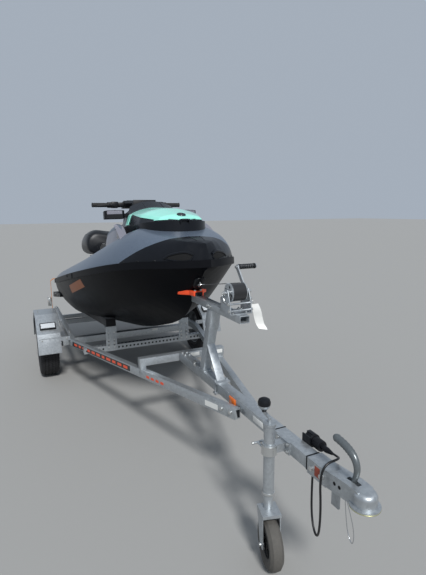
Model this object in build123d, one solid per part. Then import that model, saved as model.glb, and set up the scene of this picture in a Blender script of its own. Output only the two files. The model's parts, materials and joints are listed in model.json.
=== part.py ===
from build123d import *

import os
from math import atan2, cos, degrees, hypot, pi, radians, sin, tan
from typing import NamedTuple

# A three-seat personal watercraft parked on its single-axle road trailer.
# Millimetres. +X points forward to the trailer's coupling, +Y to port, +Z up, and the ground is z = 0.
# Pieces are drawn with x = 0 at the wheel centres; the export moves all of them by SHIFT_X,
# so that the middle of the whole length is at x = 0.

FIT = 0.05  # radial running clearance of a pin or shaft in its bore
SEAT_GAP = 0.3  # rest gap of a soft or closed piece from what carries it
MOVE_GAP = 6.0  # clearance of a moving piece from the ones beside it


# Driving sizes of the watercraft, in its own level frame: x from the transom, z from the keel

CRAFT_X = -1300.0  # transom foot, from the wheel centres
CRAFT_Z = 310.0  # keel at the transom, above the ground
CRAFT_PITCH = 5.3  # degrees nose up on the bunks

RAIL_BAND = 45.0  # height of the rubber rail on the gunwale
RAIL_THICK = 14.0
FAIRING_FOOT = (2880.0, 632.0)  # where the fairing's parting line leaves the rail, x and z
FAIRING_SLOPE = 27.5  # degrees, rise of the parting line towards the bow

PLATFORM_Z = 425.0  # stern boarding platform
PLATFORM_LENGTH = 470.0
WELL_REAR_Z = 425.0  # footwell floor at its rear and front
WELL_FRONT_Z = 490.0
WELL_FRONT_X = 2020.0
WELL_INNER_Y = 245.0
SPINE_TOP_Z = 680.0
SPINE_FRONT_X = 2150.0

HOOD_SEAM_Z = 885.0
HOOD_REAR_X = 2165.0
HOOD_FRONT_X = 3020.0
HOOD_SKIN = 12.0
PANEL_SKIN = 5.0
BIN = (2340.0, 2860.0, 180.0, 455.0)  # storage bin: rear x, front x, half width, floor z

TOWER_HALF = 130.0
STEER_X = 1925.0
STEER_Z = 1100.0
STEER_RAKE = 25.0  # degrees that the steering axis leans back
BAR_HALF = 385.0
BAR_RADIUS = 11.0
GRIP_LENGTH = 125.0
GRIP_RADIUS = 17.0
COLUMN_RADIUS = 22.0
COLUMN_LENGTH = 180.0

ENGINE = (1150.0, 1750.0, 200.0, 110.0, 560.0)  # rear x, front x, half width, floor z, top z
ENGINE_ROOM = 30.0

PUMP_Z = 150.0  # jet axis
PUMP_RADIUS = 95.0
PUMP_WALL = 8.0
TUNNEL_HALF = 132.0
TUNNEL_TOP = 275.0
TUNNEL_FRONT = 620.0
SHAFT_RADIUS = 12.0
SHAFT_FRONT = 820.0
INTAKE_HALF = 88.0
NOZZLE_PIVOT_X = 175.0
BUCKET_PIVOT_X = 120.0

EYE_X = 3192.0
EYE_Z = 497.0
EYE_ROD = 5.0


# Driving sizes of the trailer: x from the wheel centres, z from the ground

TYRE_RADIUS = 280.0
TYRE_WIDTH = 165.0
WHEEL_Y = 785.0
RIM_RADIUS = 172.0
STUB_RADIUS = 15.0

RAIL_W = 40.0
RAIL_H = 56.0
RAIL_Y = 593.0
RAIL_TOP = 415.0
RAIL_REAR_X = -1080.0
RAIL_BEND_X = 400.0
RAIL_FRONT_X = 2440.0
RAIL_FRONT_TOP = 534.0

BEAM_W = 60.0
BEAM_H = 56.0
BEAM_TOP = 562.0
BEAM_REAR_X = 1562.0
BEAM_FRONT_X = 3060.0
TUBE_WALL = 4.0

AXLE_TUBE = 60.0
AXLE_X = 130.0
AXLE_ARM = 30.0  # thickness of a trailing arm

GUARD_GAP = 45.0  # above the tyre
GUARD_INNER_Y = 690.0
GUARD_OUTER_Y = 882.0
GUARD_SHEET = 3.0
ARM_FLAT_Z = 396.0

BUNK_Y = 325.0
BUNK_W = 80.0
BUNK_T = 62.0
BUNK_REAR = (-760.0, 472.0)  # x and top z of the bunk's ends
BUNK_FRONT = (745.0, 652.0)
FRONT_BEAM_X = 706.0
FRONT_BEAM_Z = 372.0
REAR_BEAM_X = -620.0
CHANNEL_W = 50.0
CHANNEL_H = 48.0

POST_FOOT_X = 1930.0
POST_TOP_X = 2062.0
POST_W = 60.0
ARM_W = 56.0
ARM_H = 40.0
ARM_Z = 970.0  # underside of the winch arm
ARM_REAR_X = 1790.0
ARM_FRONT_X = 2420.0

DRUM_X = 2335.0
DRUM_Z = 1118.0
GEAR_TEETH = 48
PINION_TEETH = 12
GEAR_MODULE = 2.0
GEAR_T = 7.0
GEAR_Y = -45.0
ROLL_RADIUS = 44.0  # of the strap wound on the drum
PLATE_OUT_Y = 62.0  # outer face of a winch side plate
PLATE_T = 4.0
CRANK_AIM = (-127.0, 156.0)  # direction of the crank's arm, x and z
CRANK_LENGTH = 200.0

JOCKEY_X = 2822.0
JOCKEY_Y = -106.0
JOCKEY_OUTER_R = 24.0
JOCKEY_INNER_R = 20.0
JOCKEY_TOP = 650.0
JOCKEY_FOOT = 322.0
JOCKEY_WHEEL_R = 110.0
JOCKEY_WHEEL_W = 60.0
JOCKEY_TRAIL = 40.0
JOCKEY_YAW = -15.0  # degrees that the castor is turned

SOCKET_X = 3262.0
SOCKET_R = 25.2
HEAD_R = 42.0
COUPLING_Z = 548.0

FRONT_X = SOCKET_X + HEAD_R + 12.0
EYE_OUT = 34.0  # reach of a stern eye behind the transom
STERN_EYE_Z = 250.0
REAR_X = CRAFT_X - (EYE_OUT * cos(radians(CRAFT_PITCH)) + STERN_EYE_Z * sin(radians(CRAFT_PITCH)))
SHIFT_X = -(FRONT_X + REAR_X) / 2


class Rib(NamedTuple):
    """One station of the watercraft: half widths and heights at x from the transom."""

    x: float
    keel_z: float
    chine_y: float
    chine_z: float
    flare_y: float
    flare_z: float
    gunwale_y: float
    gunwale_z: float
    bulge: float
    shoulder_y: float
    shoulder_z: float
    top_z: float


#        x   keel chine y,z  flare y,z   gunwale y,z bulge shoulder y,z top
RIBS = (
    Rib(0, 0, 455, 140, 528, 245, 555, 357, 2, 532, 432, 436),
    Rib(1000, 0, 490, 150, 585, 285, 625, 420, 4, 578, 520, 524),
    Rib(1600, 0, 485, 165, 590, 310, 627, 465, 8, 555, 585, 590),
    Rib(2050, 48, 450, 215, 560, 360, 610, 504, 14, 455, 672, 682),
    Rib(2450, 118, 370, 283, 482, 425, 554, 541, 26, 340, 775, 792),
    Rib(2780, 192, 262, 345, 372, 470, 455, 574, 40, 238, 850, 864),
    Rib(3000, 285, 175, 412, 268, 508, 342, 588, 34, 212, 802, 818),
    Rib(3150, 425, 100, 490, 168, 540, 228, 588, 22, 142, 762, 778),
    Rib(3255, 525, 48, 548, 84, 568, 116, 586, 10, 76, 740, 752),
    Rib(3306, 566, 10, 572, 16, 578, 22, 585, 2, 16, 724, 730),
)


def faired(ribs):
    """The ribs with two smoothly interpolated ones in each bay."""
    slopes = []
    for k in range(len(ribs)):
        low, high = ribs[max(k - 1, 0)], ribs[min(k + 1, len(ribs) - 1)]
        slopes.append([(b - a) / (high.x - low.x) for a, b in zip(low, high)])
    result = []
    for start, end, lean, rise in zip(ribs, ribs[1:], slopes, slopes[1:]):
        bay = end.x - start.x
        steps = 3 if bay > 140 else 2
        for step in range(steps):
            t = step / steps
            weights = (2 * t**3 - 3 * t**2 + 1, t**3 - 2 * t**2 + t, 3 * t**2 - 2 * t**3, t**3 - t**2)
            values = [
                a * weights[0] + m * bay * weights[1] + b * weights[2] + n * bay * weights[3]
                for a, m, b, n in zip(start, lean, end, rise)
            ]
            result.append(Rib(*values)._replace(x=start.x + bay * t))
    return [*result, ribs[-1]]


def largest(shape):
    """The largest solid of a shape."""
    return max(shape.solids(), key=lambda solid: solid.volume)


def parked(shape):
    """The shape moved from the watercraft's level frame to where it lies on the trailer."""
    return Pos(CRAFT_X, 0, CRAFT_Z) * Rot(0, -CRAFT_PITCH, 0) * shape


def sides(shape):
    """The shape and its mirror image across the middle plane."""
    return [shape, mirror(shape, about=Plane.XZ)]


def block(x0, x1, y0, y1, z0, z1):
    """A box between the given limits."""
    return Pos((x0 + x1) / 2, (y0 + y1) / 2, (z0 + z1) / 2) * Box(x1 - x0, y1 - y0, z1 - z0)


def rod(start, end, radius):
    """A round bar between two points."""
    axis = Vector(*end) - Vector(*start)
    return Plane(origin=start, z_dir=axis) * Cylinder(
        radius, axis.length, align=(Align.CENTER, Align.CENTER, Align.MIN)
    )


def bar(start, end, width, height, side=(0, 1, 0)):
    """A rectangular bar between two points, its width along side."""
    axis = Vector(*end) - Vector(*start)
    return Plane(origin=start, x_dir=side, z_dir=axis) * Box(
        width, height, axis.length, align=(Align.CENTER, Align.CENTER, Align.MIN)
    )


def profile_xz(points, y0, y1):
    """A prism whose outline is in x and z, between two y values."""
    outline = make_face(Polyline(*[(x, 0, z) for x, z in points], close=True))
    return Pos(0, y0, 0) * Solid.extrude(outline.face(), Vector(0, y1 - y0, 0))


def profile_xy(points, z0, z1):
    """A prism whose outline is in x and y, between two heights."""
    outline = make_face(Polyline(*[(x, y, 0) for x, y in points], close=True))
    return Pos(0, 0, z0) * Solid.extrude(outline.face(), Vector(0, 0, z1 - z0))


def wire_of(edges):
    """A closed wire from edges that follow one another."""
    return Wire(edges)


def sweep_tube(points, radius, fillet_radius):
    """A round bar along straight stretches with rounded corners."""
    path = FilletPolyline(*points, radius=fillet_radius)
    start = path @ 0
    section = Plane(origin=start, z_dir=path % 0) * Circle(radius)
    return sweep(section, path=path)


def hull_wire(rib):
    """The hull's outline at a station: V bottom, flared side and level top."""
    keel = (rib.x, 0, rib.keel_z)
    right = [(rib.x, -rib.chine_y, rib.chine_z), (rib.x, -rib.flare_y, rib.flare_z)]
    right.append((rib.x, -rib.gunwale_y, rib.gunwale_z))
    left = [(x, -y, z) for x, y, z in right]
    return wire_of(
        [
            Line(keel, right[0]).edge(),
            ThreePointArc(*right).edge(),
            Line(right[2], left[2]).edge(),
            ThreePointArc(*reversed(left)).edge(),
            Line(left[0], keel).edge(),
        ]
    )


def deck_wire(rib, drop=40.0):
    """The deck's outline at a station: rail band, bulging side and crowned top."""
    inner_y = max(rib.gunwale_y - 30.0, rib.gunwale_y * 0.3)
    foot = (rib.x, -inner_y, rib.gunwale_z - drop)
    edge = (rib.x, -rib.gunwale_y, rib.gunwale_z)
    band = (rib.x, -rib.gunwale_y, rib.gunwale_z + RAIL_BAND)
    shoulder = (rib.x, -rib.shoulder_y, rib.shoulder_z)
    run = Vector(*shoulder) - Vector(*band)
    out = Vector(0, -run.Z, run.Y).normalized() * rib.bulge
    waist = (Vector(*band) + Vector(*shoulder)) * 0.5 + out * (1 if out.Y < 0 else -1)
    right = [foot, edge, band, (waist.X, waist.Y, waist.Z), shoulder]
    left = [(x, -y, z) for x, y, z in right]
    return wire_of(
        [
            Line(left[0], right[0]).edge(),
            Line(right[0], right[1]).edge(),
            Line(right[1], right[2]).edge(),
            ThreePointArc(right[2], right[3], right[4]).edge(),
            ThreePointArc(right[4], (rib.x, 0, rib.top_z), left[4]).edge(),
            ThreePointArc(left[4], left[3], left[2]).edge(),
            Line(left[2], left[1]).edge(),
            Line(left[1], left[0]).edge(),
        ]
    )


def slab_wire(rib, grow):
    """The outline of a slab along the gunwale, wider than the deck by grow each side."""
    half = rib.gunwale_y + grow
    low = rib.gunwale_z
    high = rib.gunwale_z + RAIL_BAND
    corners = [(rib.x, -half, low), (rib.x, half, low), (rib.x, half, high), (rib.x, -half, high)]
    return wire_of([Line(corners[i], corners[(i + 1) % 4]).edge() for i in range(4)])


def hull_body():
    """The plain hull without its cut-outs."""
    return Solid.make_loft([hull_wire(rib) for rib in faired(RIBS)], ruled=True)


def deck_body():
    """The plain deck volume without its cut-outs, its foot inside the hull."""
    return Solid.make_loft([deck_wire(rib) for rib in faired(RIBS)], ruled=True)


def forward_of_fairing():
    """The space in front of and under the fairing's parting plane."""
    x, z = FAIRING_FOOT
    rise = tan(radians(FAIRING_SLOPE))
    reach = 700.0
    return profile_xz([(x, z), (x + reach, z + reach * rise), (x + reach, z - 300), (x, z - 300)], -700, 700)


def bin_space():
    """The storage bin's cavity, up through the deck and the hood's base."""
    rear, front, half, floor = BIN
    space = block(rear, front, -half, half, floor, HOOD_SEAM_Z + 200)
    return fillet(space.edges().filter_by(Axis.Z), 40)


def engine_space():
    """The cavity around the engine."""
    rear, front, half, floor, top = ENGINE
    return block(
        rear - ENGINE_ROOM, front + ENGINE_ROOM, -half - ENGINE_ROOM / 3, half + ENGINE_ROOM / 3, floor, top + 20
    )


def well_space():
    """The two footwells, between the seat base and the side coamings."""
    plan = [
        (PLATFORM_LENGTH, WELL_INNER_Y),
        (PLATFORM_LENGTH, 600),
        (PLATFORM_LENGTH + 60, 600),
        (PLATFORM_LENGTH + 120, 505),
        (1000, 515),
        (1600, 490),
        (WELL_FRONT_X, 370),
        (WELL_FRONT_X + 40, WELL_INNER_Y),
    ]
    height = profile_xz(
        [
            (PLATFORM_LENGTH - 5, WELL_REAR_Z),
            (WELL_FRONT_X - 90, WELL_FRONT_Z),
            (WELL_FRONT_X + 60, WELL_FRONT_Z + 110),
            (WELL_FRONT_X + 60, 1000),
            (PLATFORM_LENGTH - 5, 1000),
        ],
        0,
        700,
    )
    return sides(largest(profile_xy(plan, 300, 1100) & height))


def tunnel_space():
    """The pump tunnel, open behind and below, and the sloping intake ahead of it."""
    tunnel = block(-20, TUNNEL_FRONT, -TUNNEL_HALF, TUNNEL_HALF, -20, TUNNEL_TOP)
    intake = profile_xz([(TUNNEL_FRONT - 1, -20), (1070, -20), (TUNNEL_FRONT - 1, 215)], -INTAKE_HALF, INTAKE_HALF)
    shaft = rod((TUNNEL_FRONT, 0, PUMP_Z), (SHAFT_FRONT + 3, 0, PUMP_Z), SHAFT_RADIUS + FIT)
    return [tunnel, intake, shaft]


def hull():
    """The black lower hull with its pump tunnel and the cavities of engine and bin."""
    shape = hull_body()
    for space in [*tunnel_space(), engine_space(), bin_space(), *well_space()]:
        shape = largest(shape - space)
    return shape


def whole_deck(hull_plain):
    """The deck and the fairing as one solid, before they are parted."""
    spine = profile_spine()
    shape = largest(deck_body() - hull_plain)
    for space in [*well_space(), block(-50, PLATFORM_LENGTH, -700, 700, PLATFORM_Z, 900)]:
        shape = largest(shape - space)
    shape = largest(shape + largest(spine - hull_plain))
    for space in [engine_space(), bin_space(), glovebox_space()]:
        shape = largest(shape - space)
    return shape


def profile_spine():
    """The seat's base: a tapered block between the footwells."""
    low = [(-WELL_INNER_Y, 400), (WELL_INNER_Y, 400), (195, SPINE_TOP_Z), (-195, SPINE_TOP_Z)]
    outline = make_face(Polyline(*[(PLATFORM_LENGTH, y, z) for y, z in low], close=True))
    return Solid.extrude(outline.face(), Vector(SPINE_FRONT_X - PLATFORM_LENGTH, 0, 0))


def gunwale_rail(hull_plain, deck_plain):
    """The rubber rail that covers the seam between hull and deck, round the bow."""
    ribs = faired(RIBS)
    outer = [*ribs[:-1], ribs[-1]._replace(x=ribs[-1].x + RAIL_THICK)]
    slab = Solid.make_loft([slab_wire(rib, RAIL_THICK) for rib in outer], ruled=True)
    core = Solid.make_loft([slab_wire(rib, -1.0) for rib in ribs], ruled=True)
    return largest(slab - core - hull_plain - deck_plain)


def base_outline(grow=0.0):
    """The plan outline of the hood and its base, rounded at the front."""
    rear = (HOOD_REAR_X, 225 + grow)
    waist = (2500, 245 + grow)
    cheek = (2745, 232 + grow)
    nose = (HOOD_FRONT_X + grow, 0)
    bend = (2948 + grow * 0.7, 158 + grow * 0.7)
    edges = [Line(rear, waist).edge(), Line(waist, cheek).edge(), ThreePointArc(cheek, bend, nose).edge()]
    flipped = [edge.mirror(Plane.XZ) for edge in edges]
    back = Line((rear[0], -rear[1]), rear).edge()
    return Face(Wire([*edges, *reversed(flipped), back]))


def console_base(deck_plain):
    """The black base between the deck and the hood, round the storage bin."""
    column = Pos(0, 0, 600) * Solid.extrude(base_outline(), Vector(0, 0, HOOD_SEAM_Z - 600))
    shape = column - deck_plain - bin_space()
    shape = largest(shape)
    lug = block(HOOD_FRONT_X - 30, HOOD_FRONT_X + 12, 26, 34, HOOD_SEAM_Z - 14, HOOD_SEAM_Z + 8)
    pin = rod((HINGE_X, -34, HINGE_Z), (HINGE_X, 34, HINGE_Z), 4)
    return shape + sides(lug)[0] + sides(lug)[1] + pin


HINGE_X = HOOD_FRONT_X + 4.0
HINGE_Z = HOOD_SEAM_Z + 1.0


class HoodRib(NamedTuple):
    """One station of the hood: half width, side height and the top."""

    x: float
    foot_y: float
    side_y: float
    side_z: float
    top_z: float


#            x    foot  side  side z  top
HOOD_RIBS = (
    HoodRib(HOOD_REAR_X, 222, 150, 1000, 1082),
    HoodRib(2320, 236, 168, 1046, 1088),
    HoodRib(2440, 242, 212, 965, 1022),
    HoodRib(2745, 232, 200, 945, 985),
    HoodRib(2948, 158, 134, 908, 928),
    HoodRib(HOOD_FRONT_X - 2, 34, 26, 894, 899),
)


def hood_wire(rib, grow):
    """The hood's outline at a station."""
    z = HOOD_SEAM_Z + SEAT_GAP + (0 if grow >= 0 else -20)
    foot = (rib.x, -rib.foot_y - grow, z)
    side = (rib.x, -rib.side_y - grow * 0.8, rib.side_z + grow * 0.6)
    top = (rib.x, 0, rib.top_z + grow)
    return wire_of(
        [
            Line((foot[0], -foot[1], foot[2]), foot).edge(),
            Line(foot, side).edge(),
            ThreePointArc(side, top, (side[0], -side[1], side[2])).edge(),
            Line((side[0], -side[1], side[2]), (foot[0], -foot[1], foot[2])).edge(),
        ]
    )


def hood_body(grow=0.0, ribs=HOOD_RIBS):
    """The hood's outer volume, thicker by grow."""
    return Solid.make_loft([hood_wire(rib, grow) for rib in ribs], ruled=True)


def hood():
    """The hood's shell, open below, with its hinge knuckle at the nose."""
    first = HOOD_RIBS[0]
    last = HOOD_RIBS[-2]
    inner_ribs = [first._replace(x=first.x + HOOD_SKIN), *HOOD_RIBS[1:-2], last._replace(x=last.x)]
    shape = hood_body() - hood_body(-HOOD_SKIN, inner_ribs)
    knuckle = rod((HINGE_X, -24, HINGE_Z), (HINGE_X, 24, HINGE_Z), 9)
    knuckle = knuckle & block(HINGE_X - 9, HINGE_X + 9, -24, 24, HOOD_SEAM_Z + SEAT_GAP, HINGE_Z + 9)
    web = block(HOOD_FRONT_X - 60, HINGE_X, -24, 24, HOOD_SEAM_Z + SEAT_GAP, HOOD_SEAM_Z + 9)
    clear = block(HOOD_FRONT_X - 36, HOOD_FRONT_X + 30, 24.5, 38, HOOD_SEAM_Z - 20, HOOD_SEAM_Z + 40)
    shape = shape + knuckle + web
    for space in [*sides(clear), rod((HINGE_X, -60, HINGE_Z), (HINGE_X, 60, HINGE_Z), 4 + FIT)]:
        shape = shape - space
    return largest(shape)


def hood_panel():
    """The mint panel on the hood, with a dark window left open in each cheek."""
    skin = hood_body(PANEL_SKIN) - hood_body()
    region = block(2440, 2978, -300, 300, HOOD_SEAM_Z + 8, 1100)
    window = profile_xz([(2497, 870), (2492, 972), (2905, 900), (2905, 870)], 130, 300)
    shape = skin & region
    for space in sides(window):
        shape = shape - space
    return largest(shape)


def mirrors():
    """The two wing mirrors, each a housing on a short foot at the hood's cheek."""
    housing = profile_xy([(2275, 222), (2245, 365), (2350, 374), (2390, 232)], 954, 1012)
    housing = chamfer(housing.edges().filter_by(Axis.Z), 14)
    foot = block(2290, 2360, 150, 240, 965, 990)
    solid = housing + foot
    return sides(largest(solid - hood_body()))


KNEE_GAP = 12.0  # between the knee panels and the hood, which lifts past them


def knee_panels(deck_plain):
    """The panels beside the hood's base, at the rider's knees."""
    side = profile_xz([(2166, 680), (2166, 850), (2290, 893), (2640, 918), (2740, 905), (2806, 680)], 200, 360)
    section = profile_yz([(200, 680), (354, 680), (334, 920), (200, 932)], 2140, 2810)
    column = Pos(0, 0, 600) * Solid.extrude(base_outline(KNEE_GAP), Vector(0, 0, 400))
    return sides(largest((side & section) - deck_plain - column))


def steering_tower():
    """The tower that carries the handlebar, with the glovebox in its rear slope."""
    outline = [
        (1800, SPINE_TOP_Z),
        (1815, 800),
        (1925, 985),
        (1990, 1020),
        (HOOD_REAR_X - MOVE_GAP - 10, 1035),
        (HOOD_REAR_X - MOVE_GAP - 10, SPINE_TOP_Z),
    ]
    tower = profile_xz(outline, -TOWER_HALF, TOWER_HALF)
    gauge = profile_xz([(2088, 1000), (2088, 1080), (2150, 1118), (2150, 1000)], -95, 95)
    bore = steer_rod(-COLUMN_LENGTH - 2, 60, COLUMN_RADIUS + FIT)
    tower = tower + gauge - glovebox_space() - bore
    for piece in [*sides(lid_ear()), lid_rod(LID_EAR_OUT, LID_PIN)]:
        tower = tower + piece
    return tower


def steer_point(along):
    """A point on the steering axis, along above the handlebar's middle."""
    return (STEER_X - along * sin(radians(STEER_RAKE)), 0, STEER_Z + along * cos(radians(STEER_RAKE)))


def steer_rod(low, high, radius):
    """A round bar on the steering axis."""
    return rod(steer_point(low), steer_point(high), radius)


LID_FOOT = (1822.0, 812.0)  # lower and upper ends of the glovebox lid, x and z
LID_HEAD = (1918.0, 973.0)
LID_T = 10.0
LID_LENGTH = hypot(LID_HEAD[0] - LID_FOOT[0], LID_HEAD[1] - LID_FOOT[1])
LID_BARREL = 5.0  # radius of the hinge's barrel and ears
LID_BARREL_OUT = 50.0
LID_EAR_OUT = 58.0
LID_PIN = 3.0
LID_HINGE_UP = 1.0 + 6.0 / LID_LENGTH


def lid_frame(across, out):
    """A point on the glovebox lid's slope: across 0 to 1 up the slope, out from it."""
    dx, dz = LID_HEAD[0] - LID_FOOT[0], LID_HEAD[1] - LID_FOOT[1]
    length = hypot(dx, dz)
    x = LID_FOOT[0] + dx * across - out * dz / length
    z = LID_FOOT[1] + dz * across + out * dx / length
    return (x, z)


LID_HINGE = (lid_frame(LID_HINGE_UP, 6.0)[0], 0.0, lid_frame(LID_HINGE_UP, 6.0)[1])


def glovebox_space():
    """The glovebox's cavity behind its lid."""
    mouth = [lid_frame(0.06, 40), lid_frame(0.94, 40), lid_frame(0.94, -90), lid_frame(0.06, -60)]
    return profile_xz(mouth, -85, 85)


def glovebox_lid():
    """The lid that lies on the tower's rear slope."""
    plate = profile_xz(
        [lid_frame(0, SEAT_GAP), lid_frame(1, SEAT_GAP), lid_frame(1, LID_T), lid_frame(0, LID_T)], -100, 100
    )
    web = profile_xz(
        [lid_frame(0.98, 3), lid_frame(LID_HINGE_UP, 3), lid_frame(LID_HINGE_UP, 9), lid_frame(0.98, 9)],
        -LID_BARREL_OUT,
        LID_BARREL_OUT,
    )
    barrel = lid_rod(LID_BARREL_OUT, LID_BARREL)
    return plate + web + barrel - lid_rod(LID_EAR_OUT, LID_PIN + FIT)


def lid_rod(half, radius):
    """A round bar on the lid's hinge axis."""
    x, _, z = LID_HINGE
    return rod((x, -half, z), (x, half, z), radius)


def lid_ear():
    """One of the two ears on the tower that hold the lid's pin."""
    x, _, z = LID_HINGE
    y0 = LID_BARREL_OUT + 0.5
    round_end = rod((x, y0, z), (x, LID_EAR_OUT, z), LID_BARREL)
    share = 4.5 / LID_LENGTH
    up = LID_HINGE_UP
    corners = [lid_frame(up - share, -1), lid_frame(up + share, -1), lid_frame(up + share, 6), lid_frame(up - share, 6)]
    return round_end + profile_xz(corners, y0, LID_EAR_OUT)


def handlebar():
    """The steering column, its clamp and the bar."""
    column = steer_rod(-COLUMN_LENGTH, 0, COLUMN_RADIUS)
    tube = rod((STEER_X, -BAR_HALF + 4, STEER_Z), (STEER_X, BAR_HALF - 4, STEER_Z), BAR_RADIUS)
    clamp = steer_rod(-14, 14, 30)
    return column + tube + clamp


def handlebar_pad():
    """The moulded pad over the bar's middle."""
    outline = [(-70, -24), (-40, 26), (40, 34), (85, 6), (70, -24)]
    pad = profile_xz([(STEER_X + x, STEER_Z + z) for x, z in outline], -125, 125)
    pad = chamfer(pad.edges().filter_by(Axis.Y).sort_by(Axis.Z)[-2:], 8)
    return pad - handlebar() - steer_rod(-120, -20, COLUMN_RADIUS + 6)


def grips():
    """The two rubber grips, each with its lever."""
    y0 = BAR_HALF - GRIP_LENGTH
    grip = rod((STEER_X, y0, STEER_Z), (STEER_X, BAR_HALF, STEER_Z), GRIP_RADIUS)
    collar = rod((STEER_X, y0 - 34, STEER_Z), (STEER_X, y0, STEER_Z), GRIP_RADIUS + 7)
    lever = profile_xy(
        [
            (STEER_X + 10, y0 - 30),
            (STEER_X + 58, y0 - 4),
            (STEER_X + 50, y0 + 90),
            (STEER_X + 38, y0 + 90),
            (STEER_X + 42, y0),
            (STEER_X + 8, y0 - 8),
        ],
        STEER_Z - 6,
        STEER_Z + 6,
    )
    bare = rod((STEER_X, 0, STEER_Z), (STEER_X, BAR_HALF - 4, STEER_Z), BAR_RADIUS)
    return sides(grip + collar + lever - bare)


def driver_seat():
    """The driver's seat, a plain cushion on the seat base."""
    z = SPINE_TOP_Z + SEAT_GAP
    outline = [(962, z), (1770, z), (1785, 770), (1700, 812), (1400, 782), (1080, 800), (962, 830)]
    seat = profile_xz(outline, -190, 190)
    return chamfer(seat.edges().filter_by(lambda e: e.center().Z > z + 30 and abs(e.center().Y) > 180), 40)


def passenger_seat():
    """The raised passenger's seat behind the driver's, with a bolster along each side."""
    z = SPINE_TOP_Z + SEAT_GAP
    half = [(222, z), (305, 716), (322, 790), (300, 884), (220, 936), (120, 922), (0, 904)]
    section = [(-y, height) for y, height in half] + [(y, height) for y, height in reversed(half[:-1])]
    side = [(478, z), (960, z), (960, 870), (908, 954), (560, 954), (478, 884)]
    return largest(profile_yz(section, 470, 970) & profile_xz(side, -340, 340))


def grab_handle():
    """The handle behind the seats."""
    points = [
        (PLATFORM_LENGTH, -150, 600),
        (PLATFORM_LENGTH - 55, -150, 640),
        (PLATFORM_LENGTH - 55, 150, 640),
        (PLATFORM_LENGTH, 150, 600),
    ]
    return sweep_tube(points, 13, 28) - profile_spine()


def sponsons(hull_plain):
    """The fins on the hull's sides near the stern."""
    fin = profile_xz([(120, 205), (160, 262), (900, 300), (960, 290), (940, 262), (200, 205)], 470, 606)
    pieces = []
    for side in sides(fin):
        cut = side - hull_plain
        pieces.append(max(cut.solids(), key=lambda solid: abs(solid.center().Y)))
    return pieces


def tow_eyes():
    """The bow eye on its plate and the two stern eyes."""
    bow = sweep_tube([(-30, 0, -22), (EYE_OUT - EYE_ROD, 0, -22), (EYE_OUT - EYE_ROD, 0, 22), (-30, 0, 22)], EYE_ROD, 14)
    bow = Pos(EYE_X, 0, EYE_Z) * Rot(0, 42, 0) * bow
    reach = EYE_OUT - EYE_ROD
    stern = sweep_tube([(2, -22, 0), (-reach, -22, 0), (-reach, 22, 0), (2, 22, 0)], EYE_ROD, 14)
    pad = block(-6, 0, -34, 34, -14, 14)
    stern = stern + pad
    return bow, [Pos(0, y, STERN_EYE_Z) * stern for y in (-400, 400)]


def vee(y):
    """The height of the hull's V bottom near the stern at y."""
    stern = RIBS[0]
    return abs(y) * stern.chine_z / stern.chine_y


def vee_plate(x0, x1, half, low, high):
    """A plate that follows the hull's V bottom, between two heights above it."""
    lower = [(-half, vee(half) + low), (0, low), (half, vee(half) + low)]
    upper = [(half, vee(half) + high), (0, high), (-half, vee(half) + high)]
    return profile_yz([*lower, *upper], x0, x1)


def intake_grate(hull_shape):
    """The bars across the water intake."""
    x0, x1, half = TUNNEL_FRONT + 1, 985.0, INTAKE_HALF
    shape = vee_plate(x0, x0 + 18, half, 2, 14) + vee_plate(x1 - 20, x1, half, 2, 14)
    for y in (-56, -28, 0, 28, 56):
        shape = shape + block(x0, x1, y - 3, y + 3, vee(y) + 3, vee(y) + 14)
    return largest(shape - hull_shape)


def ride_plate(hull_shape):
    """The plate that closes the tunnel below the pump."""
    return largest(vee_plate(6, TUNNEL_FRONT - 6, TUNNEL_HALF, 1, 11) - hull_shape)


def ring(x0, x1, outer, inner, z=PUMP_Z):
    """A round sleeve along x."""
    return rod((x0, 0, z), (x1, 0, z), outer) - rod((x0 - 1, 0, z), (x1 + 1, 0, z), inner)


def jet_pump():
    """The pump housing with its stator vanes, the venturi cone and its foot."""
    bore = PUMP_RADIUS - PUMP_WALL
    housing = ring(330, TUNNEL_FRONT, PUMP_RADIUS, bore)
    cone = Pos(330, 0, PUMP_Z) * Rot(0, -90, 0) * (
        Cone(PUMP_RADIUS, 58, 140, align=(Align.CENTER, Align.CENTER, Align.MIN))
        - Cone(bore, 50, 140.001, align=(Align.CENTER, Align.CENTER, Align.MIN))
    )
    hub = ring(340, 400, 30, SHAFT_RADIUS + FIT)
    shape = housing + cone + hub
    for k in range(5):
        vane = Pos(370, 0, PUMP_Z) * Rot(72 * k, 0, 0) * block(-28, 28, -3, 3, 28, bore + 3)
        shape = shape + vane
    foot = block(350, TUNNEL_FRONT, -40, 40, PUMP_Z + PUMP_RADIUS - 12, TUNNEL_TOP)
    return shape + (foot - rod((300, 0, PUMP_Z), (700, 0, PUMP_Z), bore + 2))


def impeller():
    """The impeller: a hub and three raked blades on the drive shaft."""
    tip = PUMP_RADIUS - PUMP_WALL - 5.5
    shape = rod((412, 0, PUMP_Z), (500, 0, PUMP_Z), 30) + rod((345, 0, PUMP_Z), (SHAFT_FRONT, 0, PUMP_Z), SHAFT_RADIUS)
    for k in range(3):
        blade = Rot(120 * k, 0, 0) * (Pos(0, 0, 25) * Rot(0, 0, 38) * block(-46, 46, -3, 3, 0, tip))
        shape = shape + Pos(456, 0, PUMP_Z) * blade
    clear = ring(300, 700, 400, tip)
    ends = [block(0, 411, -200, 200, -100, 400), block(501, 800, -200, 200, -100, 400)]
    shaft = rod((345, 0, PUMP_Z), (SHAFT_FRONT, 0, PUMP_Z), SHAFT_RADIUS)
    shape = shape - clear - ends[0] - ends[1]
    return shape + shaft


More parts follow.
